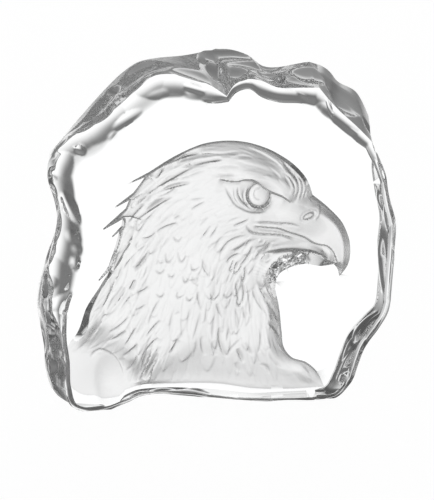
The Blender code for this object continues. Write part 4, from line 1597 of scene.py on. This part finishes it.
@dataclass
class CrystalBlock:
    """The whole piece: the rim, the plain front face, and the back face with the head sunk into it.

    The steps are the distances between points within the relief, on the plain front face, on the swelling
    foot and on the plain back face.  Points of the relief keep clear of its outline by relief_clear steps.
    """

    rim: Rim = field(default_factory=Rim)
    head: Head = field(default_factory=Head)
    relief_step: float = 0.418
    relief_clear: float = 0.55
    face_step: float = 4.0
    lump_step: float = 1.15
    back_step: float = 6.0
    sharp_angle: float = 38.0

    def close_face(
        self, shell: Shell, ring: np.ndarray, loops: list[np.ndarray], extra: np.ndarray, front: bool
    ) -> None:
        """Closes the first or the last ring with a face.

        Args:
            shell: The mesh so far.
            ring: The numbers of the ring's points.
            loops: Closed lines that the face keeps.
            extra: Further points in it.
            front: True for the front face, and False for the back.
        """
        points = np.vstack(shell.points)
        rim_loop = points[ring][:, [0, 2]]
        places, triangles, origins = triangulate([rim_loop, *loops], extra)
        if front:
            depths = self.rim.front - self.rim.lump(places[:, 0], places[:, 1])
        else:
            rows = self.head.outline()
            depths = np.full(len(places), self.rim.back)
            sunk = inside(places, loops[0]) & (nearest(places, loops[0])[0] > TOUCH)
            depths[sunk] -= self.head.height(places[sunk], rows)
        numbers = np.full(len(places), -1)
        for i, source in enumerate(origins):
            on_ring = [n for n in source if n < len(ring)]
            if on_ring:
                numbers[i] = ring[on_ring[0]]
        used = np.zeros(len(places), bool)
        used[np.unique(triangles)] = True
        fresh = used & (numbers < 0)
        numbers[fresh] = shell.add_points(np.stack([places[:, 0], depths, places[:, 1]], axis=1)[fresh])
        finish: np.ndarray | Finish = Finish.POLISHED
        if not front:
            middle = places[triangles].mean(axis=1)
            frosted = inside(middle, loops[0]) & ~self.head.polished(middle, rows)
            finish = np.where(frosted, Finish.FROSTED.value, Finish.POLISHED.value)
        shell.add_faces(numbers[triangles], finish)

    def build(self) -> Shell:
        """Makes every point and face of the block, in millimetres."""
        shell = Shell()
        rings = [shell.add_points(ring) for ring in self.rim.rings()]
        for ring, following in zip(rings, rings[1:]):
            shell.bridge(ring, following)
        points = np.vstack(shell.points)

        front_loop = points[rings[0]][:, [0, 2]]
        plain = honeycomb(front_loop, self.face_step)
        lumpy = honeycomb(front_loop, self.lump_step)
        reach = self.rim.lump_radius + self.lump_step
        lumpy = lumpy[np.hypot(*(lumpy - self.rim.lump_centre).T) < reach]
        plain = plain[np.hypot(*(plain - self.rim.lump_centre).T) > reach]
        extra = np.vstack([plain, lumpy])
        extra = extra[np.abs(nearest(extra, front_loop)[0]) > self.rim.step]
        self.close_face(shell, rings[0], [], extra, front=True)

        back_loop = points[rings[-1]][:, [0, 2]]
        outline = self.head.outline()
        sunk = honeycomb(outline[:, :2], self.relief_step)
        sunk = sunk[np.abs(nearest(sunk, outline)[0]) > self.relief_step * self.relief_clear]
        flat = honeycomb(back_loop, self.back_step)
        flat = flat[~inside(flat, outline[:, :2])]
        flat = flat[np.abs(nearest(flat, outline)[0]) > self.back_step / 2]
        flat = flat[np.abs(nearest(flat, back_loop)[0]) > self.back_step / 2]
        self.close_face(shell, rings[-1], [outline[:, :2]], np.vstack([sunk, flat]), front=False)
        return shell

    def make(self, low: Vector, high: Vector) -> bpy.types.Object:
        """Builds the block's object.

        Args:
            low: The lowest corner of the solid that it stands for, in metres.
            high: Its highest corner.

        Returns:
            The object, laid exactly into that box.
        """
        shell = self.build()
        points = np.vstack(shell.points)
        faces = np.vstack(shell.faces)
        lowest, highest = points.min(axis=0), points.max(axis=0)
        share = (points - lowest) / (highest - lowest)
        places = np.array(low) + share * (np.array(high) - np.array(low))
        mesh = bpy.data.meshes.new("eagle_block")
        mesh.from_pydata(places.tolist(), [], faces.tolist())
        mesh.polygons.foreach_set("material_index", np.concatenate(shell.finishes).astype(np.int32))
        mesh.update()
        face_out(mesh)
        # Painted shade: the frosted finish darkens its colour where this cut depth is high.
        cut = mesh.attributes.new("cut", "FLOAT", "POINT")
        cut.data.foreach_set("value", cut_painted_shade(points, faces).astype(np.float32))
        mesh.shade_smooth()
        mesh.set_sharp_from_angle(angle=math.radians(self.sharp_angle))
        block = bpy.data.objects.new("eagle_block", mesh)
        bpy.context.scene.collection.objects.link(block)
        LOG.info("block: %d triangles", len(faces))
        return block


def cut_painted_shade(points: np.ndarray, faces: np.ndarray) -> np.ndarray:
    """How deep in a cut each point lies, from 0 to 1, by how far the points round it stand proud of it; the
    frosted finish paints shade into its colour by this.

    Narrow cuts show against a point's neighbours and wide ones against a larger ring of points.

    Args:
        points: The mesh's points, in millimetres.
        faces: Its triangles.

    Returns:
        One number for each point.
    """
    ends = np.vstack([faces[:, [0, 1]], faces[:, [1, 2]], faces[:, [2, 0]]])
    ends = np.vstack([ends, ends[:, ::-1]])
    count = np.bincount(ends[:, 0], minlength=len(points))

    def even(values: np.ndarray) -> np.ndarray:
        """Each point's neighbours' mean."""
        return np.bincount(ends[:, 0], values[ends[:, 1]], minlength=len(points)) / count

    depth = points[:, 1]
    near = even(depth)
    wide = even(even(even(near)))
    # How much painted shade each point gets from narrow and from wide cuts.
    narrow_painted_shade = np.clip((depth - near) / NARROW_CUT[0], 0, 1) * NARROW_CUT[1]
    wide_painted_shade = np.clip((depth - wide) / WIDE_CUT[0], 0, 1) * WIDE_CUT[1]
    hollow = narrow_painted_shade + wide_painted_shade
    return np.clip(even(hollow) * 0.5 + hollow * 0.5, 0, 1)


def face_out(mesh: bpy.types.Mesh) -> None:
    """Turns every face of a closed mesh outwards."""
    bm = bmesh.new()
    bm.from_mesh(mesh)
    bmesh.ops.recalc_face_normals(bm, faces=bm.faces)
    bm.to_mesh(mesh)
    bm.free()


# ----------------------------------------------------------------------------------------------------------
# Finishes


class Board:
    """Lays out the shader nodes of one node tree."""

    def __init__(self, tree: bpy.types.NodeTree) -> None:
        """Starts on an empty tree."""
        self.tree = tree
        tree.nodes.clear()

    def node(
        self,
        kind: str,
        settings: dict[str, Any] | None = None,
        numbered: dict[int, Any] | None = None,
        **named: Any,
    ) -> bpy.types.Node:
        """Adds a node.

        Args:
            kind: The node's type.
            settings: Its own settings, set first.
            numbered: Values or links of its inputs, by their places, where names repeat.
            **named: Values or links of its other inputs, by name with _ for a space.

        Returns:
            The node.
        """
        made = self.tree.nodes.new(kind)
        for name, value in (settings or {}).items():
            setattr(made, name, value)
        for place, value in (numbered or {}).items():
            self.feed(made.inputs[place], value)
        for name, value in named.items():
            self.feed(made.inputs[name.replace("_", " ")], value)
        return made

    def feed(self, socket: bpy.types.NodeSocket, value: Any) -> None:
        """Links a signal or an output to a socket, or sets its value."""
        if isinstance(value, Signal):
            value = value.socket
        if isinstance(value, bpy.types.NodeSocket):
            self.tree.links.new(value, socket)
        else:
            socket.default_value = value

    def maths(self, operation: str, first: Any, second: Any) -> Signal:
        """Adds a Math node and returns what it gives."""
        made = self.tree.nodes.new("ShaderNodeMath")
        made.operation = operation
        self.feed(made.inputs[0], first)
        self.feed(made.inputs[1], second)
        return Signal(self, made.outputs[0])

    def read(self, made: bpy.types.Node, output: str | int = 0) -> Signal:
        """Wraps one output of a node."""
        return Signal(self, made.outputs[output])

    def dot(self, first: Any, second: Any) -> Signal:
        """Adds the dot product of two directions and returns what it gives."""
        made = self.node("ShaderNodeVectorMath", {"operation": "DOT_PRODUCT"}, {0: first, 1: second})
        return self.read(made, "Value")

    def grain(self, scale: float, detail: float) -> Signal:
        """Adds fine noise that keeps to the object."""
        place = self.node("ShaderNodeTexCoord").outputs["Object"]
        return self.read(self.node("ShaderNodeTexNoise", Vector=place, Scale=scale, Detail=detail))

    def crystal(self, colour: Any, roughness: Any, ior: float, bump: bpy.types.Node) -> None:
        """Adds clear crystal as the material's surface."""
        shader = self.node(
            "ShaderNodeBsdfPrincipled",
            Base_Color=colour,
            Roughness=roughness,
            IOR=ior,
            Transmission_Weight=1.0,
            Normal=bump.outputs["Normal"],
        )
        self.node("ShaderNodeOutputMaterial", Surface=shader.outputs["BSDF"])


class Signal:
    """A number that flows between shader nodes.  Expressions on it add Math nodes."""

    def __init__(self, board: Board, socket: bpy.types.NodeSocket) -> None:
        """Wraps a socket of the board's tree."""
        self.board = board
        self.socket = socket

    def __add__(self, other: Any) -> Signal:
        """self + other."""
        return self.board.maths("ADD", self, other)

    __radd__ = __add__

    def __rsub__(self, other: Any) -> Signal:
        """other - self."""
        return self.board.maths("SUBTRACT", other, self)

    def __mul__(self, other: Any) -> Signal:
        """self * other."""
        return self.board.maths("MULTIPLY", self, other)

    __rmul__ = __mul__

    def __truediv__(self, other: Any) -> Signal:
        """self / other."""
        return self.board.maths("DIVIDE", self, other)

    def __neg__(self) -> Signal:
        """The signal turned about zero."""
        return self * -1.0

    def __pow__(self, exponent: float) -> Signal:
        """The signal, which is above zero, raised to a power."""
        return self.board.maths("POWER", self, exponent)

    def eased(self, low: float, high: float) -> Signal:
        """0 below low, 1 above high, and a smooth rise between."""
        settings = {"interpolation_type": "SMOOTHSTEP"}
        made = self.board.node("ShaderNodeMapRange", settings, Value=self, From_Min=low, From_Max=high)
        return self.board.read(made, "Result")

    def above_zero(self) -> Signal:
        """The signal, or zero where it is below that."""
        return self.board.maths("MAXIMUM", self, 0.0)


@dataclass(frozen=True)
class PolishedCrystal:
    """Fire-polished clear crystal, with the faint waviness of pressed glass."""

    tint: tuple[float, float, float] = (0.985, 0.99, 0.99)
    ior: float = 1.54
    wave_scale: float = 90.0
    wave_height: float = 0.0003
    wave_strength: float = 0.25
    roughness: float = 0.0

    def material(self) -> bpy.types.Material:
        """Makes the material."""
        made = bpy.data.materials.new("polished crystal")
        made.use_nodes = True
        board = Board(made.node_tree)
        waves = board.grain(self.wave_scale, detail=1.0)
        bump = board.node(
            "ShaderNodeBump", Height=waves, Strength=self.wave_strength, Distance=self.wave_height
        )
        board.crystal((*self.tint, 1.0), self.roughness, self.ior, bump)
        return made


@dataclass(frozen=True)
class FrostedCrystal:
    """Acid-frosted crystal, with shade painted into its colour in the cuts."""

    light: tuple[float, float, float] = (0.92, 0.92, 0.92)
    painted_shade_colour: tuple[float, float, float] = (0.62, 0.62, 0.62)
    ior: float = 1.54
    roughness: float = 0.42
    grain_roughness: float = 0.12
    grain_scale: float = 2600.0
    grain_height: float = 0.00006
    grain_strength: float = 0.4

    def material(self) -> bpy.types.Material:
        """Makes the material."""
        made = bpy.data.materials.new("frosted crystal")
        made.use_nodes = True
        board = Board(made.node_tree)
        grain = board.grain(self.grain_scale, detail=2.0)
        # Painted shade: the colour runs from the light tone towards the second, greyer tone by how deep in a
        # cut each point lies.
        cut = board.read(board.node("ShaderNodeAttribute", {"attribute_name": "cut"}), "Fac")
        painted_shade_mix = {0: cut, 6: (*self.light, 1.0), 7: (*self.painted_shade_colour, 1.0)}
        colour = board.node("ShaderNodeMix", {"data_type": "RGBA"}, painted_shade_mix).outputs[2]
        bump = board.node(
            "ShaderNodeBump", Height=grain, Strength=self.grain_strength, Distance=self.grain_height
        )
        board.crystal(colour, grain * self.grain_roughness + self.roughness, self.ior, bump)
        return made


# ----------------------------------------------------------------------------------------------------------
# The studio


@dataclass
class Studio:
    """A plain pale floor, a soft bright field round the block, and the camera.

    The field is a low band past the block's back face, on both sides and all along the front, brightest
    past the back.  Turns and rises are in degrees; edges and powers tell how softly a part of it ends.
    """

    floor_size: float = 12.0
    floor_colour: float = 0.10
    floor_roughness: float = 0.8
    floor_glow: float = 0.97
    field_peak: float = 0.98
    field_turn: float = 6.2
    field_rise: float = -6.0
    field_edge: float = 0.69
    band_edge: float = 0.87
    field_sides: float = 0.8
    field_fill: float = 0.03
    behind_edge: float = 0.35
    rear_drop: float = 0.3
    table: float = 0.33
    table_power: float = 1.8
    under: float = 0.5
    under_edge: float = 0.86
    dim: float = 0.065
    azimuth: float = -13.0
    elevation: float = 11.0
    distance: float = 2.2
    aim_height: float = 0.078
    aim_right: float = 0.000585
    aim_up: float = -0.00954
    lens: float = 352.0
    sensor: float = 36.0
    farthest: float = 50.0
    bounces: int = 28
    glossy_bounces: int = 20

    def heading(self, turn: float, rise: float) -> Vector:
        """The direction turned from +Y towards +X and raised, both in degrees."""
        turn, rise = math.radians(turn), math.radians(rise)
        return Vector((math.sin(turn) * math.cos(rise), math.cos(turn) * math.cos(rise), math.sin(rise)))

    def floor(self) -> bpy.types.Object:
        """Lays the floor, a plain sheet that glows white."""
        half = self.floor_size / 2
        mesh = bpy.data.meshes.new("floor")
        corners = [(-half, -half, 0), (half, -half, 0), (half, half, 0), (-half, half, 0)]
        mesh.from_pydata(corners, [], [(0, 1, 2, 3)])
        made = bpy.data.materials.new("pale floor")
        made.use_nodes = True
        board = Board(made.node_tree)
        shader = board.node(
            "ShaderNodeBsdfPrincipled",
            Base_Color=(self.floor_colour,) * 3 + (1.0,),
            Roughness=self.floor_roughness,
            Emission_Color=(1.0, 1.0, 1.0, 1.0),
            Emission_Strength=self.floor_glow,
        )
        board.node("ShaderNodeOutputMaterial", Surface=shader.outputs["BSDF"])
        mesh.materials.append(made)
        floor = bpy.data.objects.new("floor", mesh)
        floor.visible_transmission = False
        floor.visible_glossy = False
        bpy.context.scene.collection.objects.link(floor)
        return floor

    def light(self) -> None:
        """Sets the world: the bright field, some light from below, and dim elsewhere.

        The camera itself sees plain white.
        """
        world = bpy.data.worlds.new("bright field")
        world.use_nodes = True
        bpy.context.scene.world = world
        board = Board(world.node_tree)
        direction = board.node("ShaderNodeTexCoord").outputs["Generated"]
        axes = (self.heading(self.field_turn, 0), self.heading(self.field_turn + 90, 0), Vector((0, 0, 1)))
        ahead, beside, height = (board.dot(direction, axis) for axis in axes)
        level_part = ahead * ahead + beside * beside
        share = ahead * ahead / level_part
        sides = share.eased(self.field_edge, 1) + (1 - share).eased(self.field_edge, 1) * self.field_sides
        behind = (-ahead).eased(0, self.behind_edge)
        sides = sides * (1 - behind) + behind
        rise = math.radians(self.field_rise)
        band = (level_part**0.5 * math.cos(rise) + height * math.sin(rise)).eased(self.band_edge, 1)
        onward = ahead * (self.rear_drop / 2) + (1 - self.rear_drop / 2)
        table = (-height).above_zero() ** self.table_power * self.table
        under = (-height).eased(self.under_edge, 1) * self.under
        level = (sides + self.field_fill) * band * onward * self.field_peak + table + under + self.dim
        seen = board.read(board.node("ShaderNodeLightPath"), "Is Camera Ray")
        strength = level * (1 - seen) + seen
        background = board.node("ShaderNodeBackground", Color=(1.0, 1.0, 1.0, 1.0), Strength=strength)
        board.node("ShaderNodeOutputWorld", Surface=background.outputs["Background"])

    def camera(self) -> bpy.types.Object:
        """Aims the camera from a little to the left and a little above."""
        turn = math.radians(self.azimuth)
        back = -self.heading(-self.azimuth, -self.elevation)
        right = Vector((math.cos(turn), math.sin(turn), 0.0))
        up = back.cross(right)
        aim = Vector((0.0, 0.0, self.aim_height)) + right * self.aim_right + up * self.aim_up
        data = bpy.data.cameras.new("camera")
        data.lens = self.lens
        data.sensor_fit = "AUTO"
        data.sensor_width = self.sensor
        data.clip_end = self.farthest
        camera = bpy.data.objects.new("camera", data)
        axes = Matrix([(right[i], up[i], back[i]) for i in range(3)]).to_4x4()
        camera.matrix_world = Matrix.Translation(aim + back * self.distance) @ axes
        bpy.context.scene.collection.objects.link(camera)
        bpy.context.scene.camera = camera
        return camera

    def tune(self) -> None:
        """Lets light run far enough through the glass, and shows whites as they are."""
        scene = bpy.context.scene
        scene.view_settings.view_transform = "Standard"
        scene.cycles.max_bounces = self.bounces
        scene.cycles.transmission_bounces = self.bounces
        scene.cycles.glossy_bounces = self.glossy_bounces
        scene.cycles.use_denoising = True


def main() -> None:
    """Builds the block and the studio."""
    logging.basicConfig(level=logging.INFO, format="%(name)s %(message)s")
    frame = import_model()
    LOG.info("frame: %s", sorted(frame["nodes"]))
    block = CrystalBlock().make(*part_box(NODE))
    for finish in (PolishedCrystal(), FrostedCrystal()):
        block.data.materials.append(finish.material())
    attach(block, "root")
    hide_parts(NODE)
    studio = Studio()
    studio.floor()
    studio.light()
    studio.camera()
    studio.tune()


if __name__ == "__main__":
    main()
